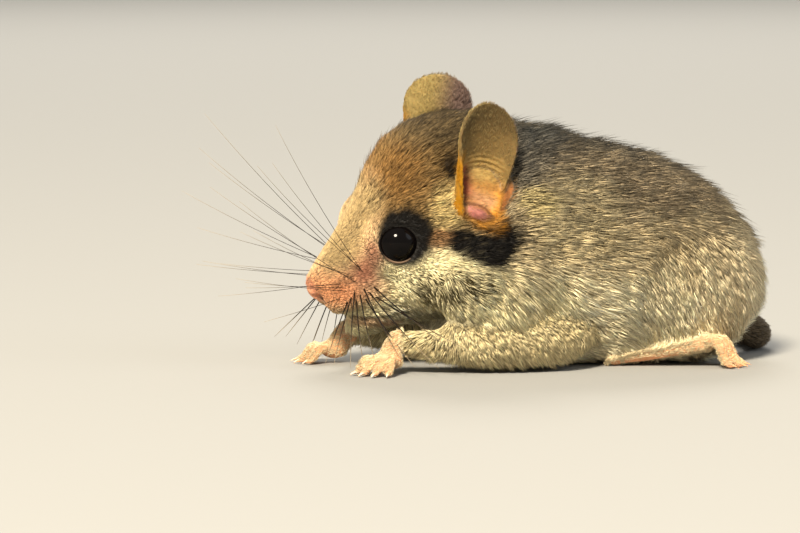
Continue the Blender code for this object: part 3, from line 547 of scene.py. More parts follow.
# The animal's colours, laid one over another as its coat shows them: skin and coat take them from here.
# Colours are plain sRGB values. Zones on the head are (back, outward, up) in millimetres.


def linear(colour):
    colour = np.array(colour) / 255
    return np.where(colour <= 0.04045, colour / 12.92, ((colour + 0.055) / 1.055) ** 2.4)


def lay(colours, *layers):
    """Lays colours over the others, one after another, each as strongly as its weight says."""
    for weight, colour in layers:
        colours = colours + (linear(colour) - colours) * np.clip(weight, 0, 1)[:, None]
    return colours


def ripple(points, size, seed):
    """An even, patchy variation from -1 to 1 with patches of about that size in millimetres."""
    rng = np.random.default_rng(seed)
    total = np.zeros(len(points))
    for _ in range(6):
        wave = rng.normal(size=3)
        wave *= 2 * math.pi / (np.linalg.norm(wave) * size * rng.uniform(0.7, 1.5))
        total += np.sin(points @ wave / MM + rng.uniform(0, 6.3))
    return total / 3


BELLY = (248, 234, 196)
FLANK = (200, 181, 142)
BACK = (158, 140, 113)
SPINE = (80, 75, 64)
RUMP = (234, 216, 180)
CROWN = (142, 114, 72)
CROWN_TOP = (92, 80, 58)
FOREHEAD = (150, 108, 54)
BRIDGE = (182, 160, 114)
SNOUT = (226, 188, 142)
MUZZLE_PINK = (228, 158, 112)
CHEEK = (248, 234, 188)
CHEEK_TICKS = (70, 62, 36)
THROAT = (248, 236, 200)
MASK = (18, 14, 10)
RUSSET = (146, 98, 56)
CREAM = (222, 198, 138)
SLATE = (84, 86, 84)
SAND = (204, 186, 134)
SHOULDER = (204, 187, 146)
ROSE = (158, 98, 78)
PAD = (198, 148, 118)
LIP = (190, 92, 58)
NOSE_PINK = (218, 152, 118)
FLESH = (218, 158, 116)
FOOT_HAIR = (226, 206, 166)
TAIL_TOP = (96, 82, 62)
ARM = (224, 205, 156)
EAR_TIP = (78, 62, 34)
EAR_TAN = (106, 85, 48)
EAR_PALE = (146, 119, 68)
EAR_WARM = (142, 101, 47)
EAR_SHADE = (118, 54, 34)
EAR_PINK = (182, 136, 100)
EAR_ORANGE_AND_GLOW = (204, 138, 44)
EAR_KHAKI = (142, 123, 76)
EAR_MAUVE = (108, 88, 80)
EAR_CREASE_SHADE = (74, 30, 20)
TRAGUS_MAUVE = (150, 92, 84)
FOLD_YELLOW_AND_GLOW = (158, 108, 12)


def streak(places, start, end, radius, soft=0.35):
    """1 within the radius of the line between two places on the head, 0 away from it."""
    start, end = np.array(start), np.array(end)
    way = end - start
    along = np.clip((places - start) @ way / (way @ way), 0, 1)
    distance = np.linalg.norm(places - start - along[:, None] * way, axis=1) / radius
    return rise(distance, 1 + soft, 1 - soft)


def side_streak(places, start, end, radius, soft):
    """A streak on the side of the head between two (back, up) places, however far out the surface is."""
    flat = places * (1, 0, 1)
    found = streak(flat, (start[0], 0, start[1]), (end[0], 0, end[1]), radius, soft)
    return found * rise(places[:, 1], 7.5, 9.5)


def swirl_of(places):
    """Where the cheek's hair parts and shows its dark roots."""
    return side_streak(places, (3.8, -6.6), (9.4, -4.9), 1.9, 0.7)


def markings(points, normals, shares, skin_itself):
    """The colour of the animal at each point: of its skin, or of the hair that grows there."""
    places = head_places(points + normals * (ripple(points, 2.2, 1) * 0.35 * MM)[:, None])
    back, outward, up = places.T
    rearward = points[:, 0] / MM
    across = np.abs(points[:, 1]) / MM
    height = points[:, 2] / MM + 1.6 * ripple(points, 6.0, 2) + 0.8 * ripple(points, 2.0, 3)

    # The trunk: cream below, tan-brown on the flank, grey-brown on the back, darkest along the spine.
    colours = lay(
        np.tile(linear(BELLY), (len(points), 1)),
        (rise(height, 11.0, 21.0), FLANK),
        (rise(height, 20.0, 29.0) * 0.9, BACK),
        (rise(rearward, 10.0, 28.0) * rise(height, 28.0, 16.0) * 0.85, RUMP),
        (rise(height, 29.0, 36.0) * rise(across, 12.0, 5.0) * 0.85, SPINE),
        (spot(places, (25.0, 15.0, 5.5), (7.0, 6.0, 7.0), 0.5) * 0.7, SHOULDER),
        (streak(places, (18.0, 10.6, 11.5), (22.0, 5.7, 15.5), 3.4, 0.6) * 0.65, SLATE),
        (spot(places, (19.4, 13.4, 7.0), (2.4, 3.4, 2.4)) * 0.85, SAND),
    )

    # The head: warm brown crown, grey-brown between the ears, tan snout, cream cheeks with a dark swirl.
    on_the_head = rise(back, 15.5, 11.0)
    colours = lay(
        colours,
        (on_the_head * rise(up, 0.0, 4.5), CROWN),
        (spot(places, (-0.4, 4.4, 9.8), (4.2, 4.6, 4.6), 0.6) * 0.6, FOREHEAD),
        (on_the_head * rise(up, 12.0, 16.5) * 0.7, CROWN_TOP),
        (on_the_head * rise(up, 1.0, -2.0) * rise(height, 3.0, 6.0), CHEEK),
        (swirl_of(places) * (0.5 + 0.3 * ripple(points, 1.2, 5)), CHEEK_TICKS),
        (rise(up, -8.5, -11.5) * rise(back, -4.0, 0.0) * on_the_head, THROAT),
        (spot(places, (13.4, 18.0, -4.0), (5.0, 5.0, 4.0)) * 0.3, SHOULDER),
        (streak(places, (10.0, 16.5, -8.0), (21.0, 18.0, -7.5), 4.0, 0.7) * 0.75, CHEEK),
        (rise(back, -1.5, -6.5) * rise(up, -12.0, -9.0) * 0.9, SNOUT),
        (streak(places, (-4.4, 2.4, 4.6), (-8.6, 1.6, -2.6), 3.4, 0.6) * 0.8, BRIDGE),
        (spot(places, (-5.4, 5.0, -7.6), (3.6, 3.0, 2.8), 0.7) * 0.7, PAD),
        (streak(places, (-12.0, 1.6, -9.4), (-8.6, 4.0, -9.2), 2.6, 0.8) * 0.85, MUZZLE_PINK),
    )

    # The mask: a black ring round the eye and a black patch under the ear, with a russet gap between them.
    patch = np.maximum(
        side_streak(places, (8.0, 0.7), (11.6, -0.1), 2.1, 0.4),
        side_streak(places, (11.6, -0.1), (14.4, 2.0), 2.1, 0.45),
    )
    colours = lay(
        colours,
        (streak(places, (-4.0, 7.4, -1.6), (-5.2, 5.1, -5.4), 1.7, 0.8) * 0.8, ROSE),
        (spot(places, (5.8, 11.4, 6.4), (2.7, 3.2, 3.5), 0.45) * 0.85, CREAM),
        (spot(places, (5.2, 11.0, 1.1), (2.6, 3.0, 1.5), 0.4) * 0.75, RUSSET),
        (spot(places, (0.3, 8.4, 1.0), (4.1, 5.2, 4.6), 0.16), MASK),
        (spot(places, (2.2, 9.4, 2.5), (1.9, 3.2, 2.0), 0.3), MASK),
        (patch * (1.1 + 0.2 * ripple(points, 1.6, 11)), MASK),
        (spot(places, (6.3, 9.8, 12.0), (1.5, 2.4, 2.0), 0.4) * 0.9, MASK),
    )

    # The crease over the arm below the cheek: a dark band of painted shade, with some dark hair tips in it.
    # Then the face's bare places: lips, nose and nostrils.
    # Painted shade: a dark band along the crease between the cheek's fur and the arm.
    arm_crease_shade = band(height, 5.8, 7.2, 8.2, 9.6) * rise(rearward, -28.0, -24.0)
    arm_crease_shade *= rise(rearward, 2.0, -6.0) * rise(across, 7.0, 10.0)
    by_the_mouth = rise(outward, 8.0, 6.0) * rise(back, 3.0, 1.0)
    lips = by_the_mouth * spot(places, (-2.4, 3.2, -14.0), (4.8, 4.6, 0.8), 0.5)
    nose = np.maximum(part_share(shares, "nose"), spot(places, (-12.4, 0.0, -9.6), (1.7, 2.1, 2.1), 0.2))
    colours = lay(
        colours,
        (arm_crease_shade * 0.6, CHEEK_TICKS),
        (lips * 0.4, LIP),
        (nose, NOSE_PINK),
        # The nostrils' openings are painted black: painted shade inside the carved hollows.
        (streak(places, (-11.3, 1.3, -10.1), (-10.3, 1.9, -10.5), 0.42, 0.4) * 0.9, MASK),
    )

    # The ears' backs, khaki in front and mauve-grey behind, with the front fold's yellow, and the orange
    # hair over the cup's lower rim. The yellow and the orange are partly their own colour and partly painted
    # glow of light shining through the thin ear and hair.
    ear_place = ear_places(points)
    tall, forward, out = ear_place.T
    ear = rise(part_share(shares, "ear"), 0.35, 0.6)
    outer = lay(
        np.tile(linear(EAR_KHAKI), (len(points), 1)),
        (rise(forward, 2.0, -3.0), EAR_MAUVE),
        # The front fold's yellow: partly its own colour, partly painted glow of light through the thin fold.
        (rise(forward, 3.6, 5.0) * rise(tall, 14.8, 10.7), FOLD_YELLOW_AND_GLOW),
    )
    colours = colours + (outer - colours) * ear[:, None]
    rim = spot(ear_place, (2.1, -0.2, 5.4), (1.9, 2.8, 2.8), 0.5) * (1 - ear)
    # Orange hair over the cup's rim: partly its own colour, partly painted glow of light through it.
    colours = lay(colours, (rim * (0.75 + 0.25 * ripple(points, 1.0, 6)), EAR_ORANGE_AND_GLOW))

    # Inside the ears: brown at the tip, tan over the ridges, warm below them, with a yellow fold in front.
    # Painted shade lies beside the front fold and towards the rear below the ridges, and a painted dark
    # crease rings the tragus. The fold's yellow and the orange on the rear fold and the cup's lower end are
    # partly the ear's own colour and partly painted glow of light through the thin ear.
    shadow_from = -1.9 - 0.62 * (tall - 4.2)
    shadow = rise(forward, shadow_from, shadow_from - 1.0) * rise(tall, 8.6, 7.2)
    rear_fold = flat_streak(tall, forward, REAR_FOLD, FOLD_WIDTH)
    from_tragus = np.linalg.norm((np.c_[tall, forward] - TRAGUS_PLACE[:2]) / TRAGUS_RADII[:2], axis=1)
    inner = lay(
        np.tile(linear(EAR_TAN), (len(points), 1)),
        (rise(tall, 12.4, 10.2) * rise(forward, -4.6, -2.4), EAR_PALE),
        (rise(tall, 12.8, 18.5), EAR_TIP),
        (rise(tall, 8.6, 7.0), EAR_WARM),
        # Painted shade in the deep part of the cup beside the front fold.
        (flat_streak(tall, forward, ((8.9, 2.6), (6.0, 2.4)), 1.15), EAR_SHADE),
        (flat_streak(tall, forward, ((5.6, 1.0), (5.0, -2.0)), 1.0) * 0.8, EAR_PINK),
        # Painted shade towards the rear of the cup, below the ridges.
        (shadow * 0.5, EAR_SHADE),
        # Orange on the rear fold and the cup's lower end: partly own colour, partly painted glow through the
        # ear.
        (rear_fold * rise(tall, 7.6, 5.4) * 0.8, EAR_ORANGE_AND_GLOW),
        (rise(tall, 4.6, 3.4) * rise(forward, 2.0, 0.6), EAR_ORANGE_AND_GLOW),
        # Painted shade: a dark crease round the tragus.
        (np.exp(-(((from_tragus - 1.3) / 0.28) ** 2)) * 0.85, EAR_CREASE_SHADE),
        (rise(from_tragus, 1.2, 0.8), TRAGUS_MAUVE),
        # The front fold's yellow: partly its own colour, partly painted glow of light through the thin fold.
        (rise(forward, 2.6, 3.8) * rise(tall, 13.4, 11.0), FOLD_YELLOW_AND_GLOW),
        (np.full(len(points), 0.0 if skin_itself else 0.12), CREAM),
    )
    colours = colours + (inner - colours) * in_cup(points, normals, shares)[:, None]

    # Arms, paws and tail.
    paws = part_share(shares, "forepaw", "hind_foot")
    tail = rise(part_share(shares, "tail"), 0.4, 0.7)
    in_brush = rise(rearward, 24.0, 18.0) * rise(points[:, 1] / MM, 27.0, 30.0)
    colours = lay(
        colours,
        (rise(part_share(shares, "foreleg"), 0.4, 0.8) * 0.8, ARM),
        (rise(paws, 0.35, 0.75), FLESH if skin_itself else FOOT_HAIR),
        (tail, TAIL_TOP),
        (tail * in_brush, MASK),
    )
    return np.clip(colours * (1 + 0.12 * ripple(points, 1.1, 4))[:, None], 0.002, 1.0)


# The bare skin's colour where nothing grows, and the dark underwool's where the coat covers it.
UNDERWOOL_SHARE = 0.32
skin_colours = markings(skin_points, skin_normals, shares, True)
bare = np.clip(part_share(shares, "nose", "forepaw", "hind_foot", "ear"), 0, 1)
bare = np.maximum(bare, rise(from_eye, 3.9, 3.6))
cup = in_cup(skin_points, skin_normals, shares)
bare = np.maximum(bare, cup)
skin_colours *= (UNDERWOOL_SHARE + (1 - UNDERWOOL_SHARE) * bare)[:, None]


def store_colours(mesh, colours):
    layer = mesh.color_attributes.new("coat_colour", "FLOAT_COLOR", "POINT")
    layer.data.foreach_set("color", np.c_[colours, np.ones(len(colours))].astype(np.float32).ravel())


store_colours(skin.data, skin_colours)
skin.data.shade_smooth()


def add_node(tree, kind, values):
    """A new node of a material, with these numbers on its inputs."""
    node = tree.nodes.new(kind)
    for name, value in values.items():
        node.inputs[name].default_value = value
    return node


def new_material(name, roughness, specular=0.5):
    material = bpy.data.materials.new(name)
    material.use_nodes = True
    shader = material.node_tree.nodes["Principled BSDF"]
    shader.inputs["Roughness"].default_value = roughness
    shader.inputs["Specular IOR Level"].default_value = specular
    return material, material.node_tree, shader


def speckled_colour(tree, shader, scale, amount):
    """The colour attribute, made a little lighter and darker by fine noise in the object's own space."""
    attribute = add_node(tree, "ShaderNodeVertexColor", {})
    attribute.layer_name = "coat_colour"
    coordinates = add_node(tree, "ShaderNodeTexCoord", {})
    noise = add_node(tree, "ShaderNodeTexNoise", {"Scale": scale, "Detail": 4.0})
    lift = add_node(tree, "ShaderNodeMapRange", {"To Min": 1.0 - amount, "To Max": 1.0 + amount})
    scaled = add_node(tree, "ShaderNodeVectorMath", {})
    scaled.operation = "SCALE"
    tree.links.new(coordinates.outputs["Object"], noise.inputs["Vector"])
    tree.links.new(noise.outputs["Fac"], lift.inputs["Value"])
    tree.links.new(attribute.outputs["Color"], scaled.inputs[0])
    tree.links.new(lift.outputs["Result"], scaled.inputs["Scale"])
    tree.links.new(scaled.outputs["Vector"], shader.inputs["Base Color"])
    return coordinates


def wrinkles(tree, shader, coordinates, scale, distance):
    """A fine cellular relief, as bare skin has."""
    cells = add_node(tree, "ShaderNodeTexVoronoi", {"Scale": scale})
    bump = add_node(tree, "ShaderNodeBump", {"Strength": 0.5, "Distance": distance})
    tree.links.new(coordinates.outputs["Object"], cells.inputs["Vector"])
    tree.links.new(cells.outputs["Distance"], bump.inputs["Height"])
    tree.links.new(bump.outputs["Normal"], shader.inputs["Normal"])


under_coat, tree_of_nodes, shader = new_material("under_coat", 0.85)
speckled_colour(tree_of_nodes, shader, 2500, 0.3)
flesh, tree_of_nodes, shader = new_material("bare_flesh", 0.66, 0.2)
coordinates = speckled_colour(tree_of_nodes, shader, 1200, 0.15)
wrinkles(tree_of_nodes, shader, coordinates, 2600, 0.00005)
shader.inputs["Subsurface Weight"].default_value = 0.25
shader.inputs["Subsurface Radius"].default_value = (0.0012, 0.0005, 0.0003)
skin.data.materials.append(under_coat)
skin.data.materials.append(flesh)
skin_faces = values_of(skin.data.loops, "vertex_index", 1, np.int32).reshape(-1, 3)
skin.data.polygons.foreach_set("material_index", (bare[skin_faces].mean(axis=1) > 0.5).astype(np.int32))
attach(skin, "root")
replaced = [node for nodes in NODES_OF.values() for node in nodes]
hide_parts(*replaced)

# How the coat lies: on the head back from the nose and down the cheeks, on the trunk back and a little
# down, on the legs towards the paws, and along the tail.
TAIL_WAY = (
    (30.0, 3.0, 4.0), (36.0, 7.0, 4.0), (39.0, 15.0, 2.4), (35.0, 24.0, 2.3), (24.5, 30.2, 2.2),
    (10.5, 34.4, 2.0), (-5.0, 36.1, 1.8),
)
NOSE_PLACE = (-12.0, 0.0, -8.0)
COAT_WANDER = 0.22


def head_vector(back, outward, up, points):
    """A direction on the head, mirrored on the left side."""
    side = np.where(halves_of(points)["right"], 1.0, -1.0)
    vectors = np.outer(np.broadcast_to(back, len(points)), np.array(head_back))
    vectors = vectors + np.outer(side * outward, np.array(head_right))
    return vectors + np.outer(np.broadcast_to(up, len(points)), np.array(head_up))


def along_tail(points):
    line = dense_line(TAIL_WAY, 60) * MM
    steps = np.gradient(line, axis=0)
    nearest = ((points[:, None, :] - line[None, :, :]) ** 2).sum(axis=2).argmin(axis=1)
    return steps[nearest] / np.linalg.norm(steps[nearest], axis=1)[:, None]


back, outward, up = places.T
x, y, z = skin_points.T / MM
outside = np.sign(y)
ruff = rise(x, -2, -10) * rise(z, 20, 11)
trunk_lie = np.c_[1 - 0.4 * ruff, 0.1 * outside, -0.08 - 0.32 * rise(z, 26, 8) - 0.7 * ruff]
wander = np.c_[ripple(skin_points, 5.0, 8), ripple(skin_points, 5.0, 9), ripple(skin_points, 5.0, 10)]
trunk_lie += COAT_WANDER * wander
from_nose = skin_points - np.array(on_head(*NOSE_PLACE, "left"))
from_nose /= np.linalg.norm(from_nose, axis=1)[:, None]
drop = rise(up, 1.0, -6.0) * rise(back, -4.0, 6.0)
head_lie = from_nose + head_vector(0.3, 0.25, -0.9 * drop, skin_points)
for side in SIDES:
    away = skin_points - np.array(eyes[side])
    distance = np.linalg.norm(away, axis=1)[:, None]
    head_lie += away / distance * rise(distance / MM, 6.5, 4.2) * 1.6
swirling = swirl_of(places)
head_lie += head_vector(0.0, 0.0, 1.0, skin_points) * (swirling * ripple(skin_points, 3.0, 7))[:, None]
near_wrist = rise(x, -20, -28)
foreleg_lie = np.c_[0.5 - 1.3 * near_wrist, 0.1 * outside, np.full(len(x), -0.8)]
hind_leg_lie = np.c_[np.full(len(x), 0.35), 0.1 * outside, np.full(len(x), -0.9)]
lie_of = {
    "head": head_lie,
    "nose": head_lie,
    "muzzle_pad": head_lie,
    "ear": np.array(head_up) + 0.2 * from_nose,
    "neck": trunk_lie,
    "torso": trunk_lie,
    "foreleg": foreleg_lie,
    "forepaw": np.array((-1.0, 0.0, -0.3)),
    "hind_leg": hind_leg_lie,
    "hind_foot": np.array((-1.0, 0.0, -0.2)),
    "tail": along_tail(skin_points),
}
lie = np.zeros_like(skin_points)
for index, part in enumerate(PARTS):
    lie += lie_of[part] * shares[:, index:index + 1]
lie -= skin_normals * (lie * skin_normals).sum(axis=1)[:, None]
lie /= np.linalg.norm(lie, axis=1)[:, None] + 1e-9
lie = blurred(lie, skin_edges, 12)

# Each part's hair: length and half width in millimetres, how steeply it stands up in degrees, and how
# densely it grows.
HAIR = {
    "head": (2.3, 0.075, 28, 2.5),
    "nose": (0.3, 0.04, 15, 0.0),
    "muzzle_pad": (0.8, 0.05, 30, 4.0),
    "ear": (0.6, 0.03, 12, 2.2),
    "neck": (4.2, 0.088, 28, 1.25),
    "torso": (4.5, 0.092, 26, 1.1),
    "foreleg": (2.5, 0.08, 22, 1.5),
    "forepaw": (0.85, 0.035, 16, 3.0),
    "hind_leg": (3.4, 0.09, 24, 1.2),
    "hind_foot": (0.9, 0.04, 14, 2.4),
    "tail": (1.8, 0.085, 24, 1.4),
}
length, half_width, lift, density = (
    shares @ np.array(column) for column in zip(*(HAIR[part] for part in PARTS))
)
lift = np.radians(lift)

# It is short, fine and dense on the muzzle and round the eyes, and longer on the cheeks, ruff and nape.
face = part_share(shares, "head", "muzzle_pad", "nose")
muzzle = rise(back, 0.0, -8.0) * face
length = length + (0.75 - length) * muzzle * 0.9
half_width = half_width + (0.036 - half_width) * muzzle
density = density + (6.5 - density) * muzzle
lift = lift + (np.radians(17.0) - lift) * muzzle
near_eye = rise(from_eye, 7.5, 4.5) * face
length = length + (0.8 - length) * near_eye
half_width = half_width + (0.055 - half_width) * near_eye
cheek = rise(back, 2.0, 10.0) * rise(up, 2.0, -3.0) * face
length += 0.7 * cheek + 1.0 * ruff * part_share(shares, "neck", "torso")
arm_top = part_share(shares, "foreleg") * rise(z, 5.5, 8.0)
length += (1.2 - length) * arm_top
density *= rise(from_eye, 3.45, 3.75)
nape = spot(places, (19.0, 3.0, 16.5), (9.0, 9.0, 6.0), 0.5)
length += 0.7 * nape
lift += np.radians(8.0) * nape

# None grows on the nose pad, the soles, the lips' and nostrils' edges and where the belly lies flat. In the
# ears it is sparse and very fine, apart from a brush of longer hair at the cups' lower end.
density *= 1 - rise(part_share(shares, "nose"), 0.3, 0.6)
lower_limbs = part_share(shares, "forepaw", "hind_foot", "foreleg", "hind_leg")
soles = lower_limbs * rise(-skin_normals[:, 2], 0.4, 0.8)
density *= 1 - soles * rise(z, 2.5, 1.5)
density *= 1 - rise(mouth_distance[kept], 0.75, 0.35)
density *= 1 - rise(nostril_distance[kept], 0.9, 0.5)
density *= rise(z, 0.3, 0.9)
tall, forward, out = ear_places(skin_points).T
density += (rise(tall, 8.0, 12.0) * 0.9 + 0.5 - density) * cup
length += (0.8 - length) * cup
half_width += (0.026 - half_width) * cup
cup_end = rise(tall, 4.2, 2.8) * rise(forward, 1.8, 0.4) * cup
density += (4.0 - density) * cup_end
length += (1.5 - length) * cup_end
lift += np.radians(14.0) * cup_end

# The coat: soft fine fur, grey at its roots and coloured towards its tips, that grows out of the skin. Each
# tuft stands for a few hairs. It is rooted just under the skin, and small locks draw the tips together.
TUFTS = 232000
TUFTS_A_PIECE = 32500
TUFTS_A_LOCK = 15
LOCK_PULL = 0.5
ROOT_SUNK = 0.12
LIE_STRAYS = 0.16
LENGTH_SPREAD = (0.7, 1.25)
WIDTH_SPREAD = (0.8, 1.2)
LIFT_SPREAD = (0.6, 1.4)
dice = np.random.default_rng(20)


def scatter(weights, count):
    """Even picks of the skin's triangles by weight, each with a place on it."""
    total = np.cumsum(weights)
    at = (np.arange(count) + dice.random(count)) * total[-1] / count
    chosen = np.minimum(np.searchsorted(total, at), len(weights) - 1)
    first = np.sqrt(dice.random(count))
    second = dice.random(count)
    return chosen, np.c_[1 - first, first * (1 - second), first * second]


def spread(values, chosen, corner_shares):
    """The values of the skin's points, at the places picked."""
    values = values[skin_faces[chosen]]
    if values.ndim == 2:
        return (values * corner_shares).sum(axis=1)
    return (values * corner_shares[:, :, None]).sum(axis=1)


def unit(vectors):
    return vectors / (np.linalg.norm(vectors, axis=1)[:, None] + 1e-12)


corner = skin_points[skin_faces]
areas = np.linalg.norm(np.cross(corner[:, 1] - corner[:, 0], corner[:, 2] - corner[:, 0]), axis=1) / 2
chosen, corner_shares = scatter(areas * density[skin_faces].mean(axis=1), TUFTS)
roots = spread(skin_points, chosen, corner_shares)
grain = unit(spread(skin_normals, chosen, corner_shares))
ways = spread(lie, chosen, corner_shares) + dice.normal(0, LIE_STRAYS, (TUFTS, 3))
ways = unit(ways - grain * (ways * grain).sum(axis=1)[:, None])
lengths = spread(length, chosen, corner_shares) * dice.uniform(*LENGTH_SPREAD, TUFTS) * MM
halves = spread(half_width, chosen, corner_shares) * dice.uniform(*WIDTH_SPREAD, TUFTS) * MM
lifts = spread(lift, chosen, corner_shares) * dice.uniform(*LIFT_SPREAD, TUFTS)
root_shares = spread(shares, chosen, corner_shares)

# A few long dark guard hairs stand out of the coat of the crown, nape and back.
GUARD_SHARE = 0.08
guard = (dice.random(TUFTS) < GUARD_SHARE) & (roots[:, 2] > 20 * MM) & (lengths > 1.5 * MM)
lengths = np.where(guard, lengths * 1.3, lengths)
halves = np.where(guard, halves * 0.7, halves)
lifts = np.where(guard, lifts * 1.45, lifts)
coat_colours = markings(roots, grain, root_shares, False)
parted = dice.random(TUFTS) < 0.5 * swirl_of(head_places(roots))
coat_colours[parted] = linear(CHEEK_TICKS)

# A tuft's line: its root under the skin, its widest place, and its tip, which bends over along the lie.
WIDEST_AT = 0.42
BENDS_OVER = 0.55
rising = ways * np.cos(lifts)[:, None] + grain * np.sin(lifts)[:, None]
lying = ways * np.cos(lifts * BENDS_OVER)[:, None] + grain * np.sin(lifts * BENDS_OVER)[:, None]
starts = roots - grain * ROOT_SUNK * MM
middles = roots + rising * (lengths * WIDEST_AT)[:, None]
tips = middles + lying * (lengths * (1 - WIDEST_AT))[:, None]
leaders = dice.choice(TUFTS, TUFTS // TUFTS_A_LOCK, replace=False)
locks = kdtree.KDTree(len(leaders))
for index in leaders:
    locks.insert(roots[index], int(index))
locks.balance()
leader_of = np.array([locks.find(root)[1] for root in roots])
pull = LOCK_PULL * dice.uniform(0.4, 1.4, TUFTS)
pull = np.minimum(pull, 0.45 * lengths / (np.linalg.norm(roots - roots[leader_of], axis=1) + 1e-9))
tips += (tips[leader_of] - tips) * pull[:, None]
middles += (middles[leader_of] - middles) * (0.3 * pull)[:, None]
tips[:, 2] = np.maximum(tips[:, 2], 0.1 * MM)
middles[:, 2] = np.maximum(middles[:, 2], 0.15 * MM)

# Its colours: the place's own, varied from tuft to tuft and lock to lock, over grey roots. A part of the
# tips is ticked dark. Where the coat is very short the colours are calm and reach the roots.
TUFT_SHADES = (0.74, 1.22)
LOCK_SHADES = (0.82, 1.18)
TIP_SHADES = (1.05, 1.38)
TICKED_SHARE = 0.24
TICKED_SHADE = 0.2
UNDERWOOL = (50, 48, 50)
shade = dice.uniform(*TUFT_SHADES, TUFTS)[:, None] * dice.uniform(*LOCK_SHADES, TUFTS)[leader_of][:, None]
bright = coat_colours.mean(axis=1)
tickable = (bright > 0.05) & (part_share(root_shares, "ear", "forepaw", "hind_foot", "muzzle_pad") < 0.5)
ticked = ((dice.random(TUFTS) < TICKED_SHARE) & tickable) | guard
tip_share = np.where(ticked, TICKED_SHADE, dice.uniform(*TIP_SHADES, TUFTS))[:, None]
fine = rise(part_share(root_shares, "ear", "forepaw", "hind_foot"), 0.3, 0.6)
fine = np.maximum(fine, in_cup(roots, grain, root_shares))[:, None]
calm = np.maximum(fine, 0.8 * spread(muzzle, chosen, corner_shares)[:, None])
shade += (1.0 - shade) * 0.6 * calm
tip_share += (1.08 - tip_share) * 0.7 * calm
root_colours = coat_colours * 0.25 + linear(UNDERWOOL) * 0.12
root_colours += (coat_colours * 0.9 - root_colours) * fine
middle_colours = coat_colours * shade * np.where(guard, 0.3, 0.84)[:, None]
tip_colours = coat_colours * shade * tip_share
unwrap = values_of(skin.data.uv_layers["OFBake"].data, "uv", 2)
root_uvs = (unwrap.reshape(-1, 3, 2)[chosen] * corner_shares[:, :, None]).sum(axis=1)

# The spindle's corners are its root, three round its widest place and its tip. In the unwrap it covers a
# small patch round its root.
UNWRAP_PATCH = 0.0015
TUFT_FLATNESS = 0.7
TUFT_FACES = np.array([(0, 2, 1), (0, 3, 2), (0, 1, 3), (1, 2, 4), (2, 3, 4), (3, 1, 4)])
TUFT_UVS = np.array([(0, -1), (-1, 0), (1, 0), (0, 0.3), (0, 1)]) * UNWRAP_PATCH


def coat_piece(name, picked, material):
    """One piece of the coat: for each tuft a thin closed spindle of three sides."""
    count = len(picked)
    along = unit(tips[picked] - starts[picked])
    across = unit(np.cross(along, grain[picked]))
    over = np.cross(across, along)
    points = np.empty((count, 5, 3))
    points[:, 0] = starts[picked]
    for corner_index, turn_angle in enumerate((90, 210, 330)):
        angle = math.radians(turn_angle)
        offset = across * math.cos(angle) + over * TUFT_FLATNESS * math.sin(angle)
        points[:, 1 + corner_index] = middles[picked] + offset * halves[picked][:, None]
    points[:, 4] = tips[picked]
    colours = np.empty((count, 5, 3))
    colours[:, 0] = root_colours[picked]
    colours[:, 1:4] = middle_colours[picked][:, None, :]
    colours[:, 4] = tip_colours[picked]
    faces = (np.arange(count)[:, None, None] * 5 + TUFT_FACES[None]).reshape(-1, 3)
    mesh = bpy.data.meshes.new(name)
    mesh.vertices.add(count * 5)
    mesh.vertices.foreach_set("co", points.ravel())
    mesh.loops.add(len(faces) * 3)
    mesh.loops.foreach_set("vertex_index", faces.ravel().astype(np.int32))
    mesh.polygons.add(len(faces))
    mesh.polygons.foreach_set("loop_start", np.arange(0, len(faces) * 3, 3, dtype=np.int32))
    mesh.update(calc_edges=True)
    patches = root_uvs[picked][:, None, :] + TUFT_UVS[None]
    uvs = mesh.uv_layers.new(name="OFBake")
    uvs.data.foreach_set("uv", patches.reshape(-1, 2)[faces.ravel()].ravel())
    store_colours(mesh, np.clip(colours.reshape(-1, 3), 0, 1))
    mesh.materials.append(material)
    mesh.shade_smooth()
    piece = add_object(name, mesh)
    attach(piece, "root")
    return piece


fur, tree_of_nodes, shader = new_material("fur", 0.6, 0.2)
speckled_colour(tree_of_nodes, shader, 4000, 0.2)

COATS = {
    "coat_head": (("head", "nose", "muzzle_pad"), "head_coat"),
    "coat_body": (("neck", "torso"), "body_coat"),
    "coat_legs": (("foreleg", "hind_leg", "forepaw", "hind_foot"), "leg_coat"),
    "coat_ears": (("ear",), "ear_skin"),
    "coat_tail": (("tail",), "tail_coat"),
}
root_part = root_shares.argmax(axis=1)
for name, (parts, slot_name) in COATS.items():
    own = np.flatnonzero(np.isin(root_part, [PARTS.index(part) for part in parts]))
    own = own[np.argsort(roots[own, 0])]
    pieces = math.ceil(len(own) / TUFTS_A_PIECE)
    for number, picked in enumerate(np.array_split(own, pieces)):
        coat_piece(f"{name}_{number + 1}", picked, fur)

# The eyes: large, round, wet and nearly black, each a ball seated in a hollow of the skin. A thin rim of
# dark bare lid, swept round the opening, holds it.
EYE_OPENING = 3.0
LOOKS_FORWARD = math.radians(16)
LOOKS_UP = math.radians(8)
LID_RADIUS = 0.17
LID_DARK = (12, 9, 8)
LID_PALE = (150, 122, 100)
eye_black, tree_of_nodes, shader = new_material("eye_black", 0.1, 0.1)
coordinates = add_node(tree_of_nodes, "ShaderNodeTexCoord", {})
noise = add_node(tree_of_nodes, "ShaderNodeTexNoise", {"Scale": 900})
ramp = add_node(tree_of_nodes, "ShaderNodeValToRGB", {})
ramp.color_ramp.elements[0].color = (0.001, 0.001, 0.001, 1)
ramp.color_ramp.elements[1].color = (0.003, 0.002, 0.002, 1)
tree_of_nodes.links.new(coordinates.outputs["Object"], noise.inputs["Vector"])
tree_of_nodes.links.new(noise.outputs["Fac"], ramp.inputs["Fac"])
tree_of_nodes.links.new(ramp.outputs["Color"], shader.inputs["Base Color"])

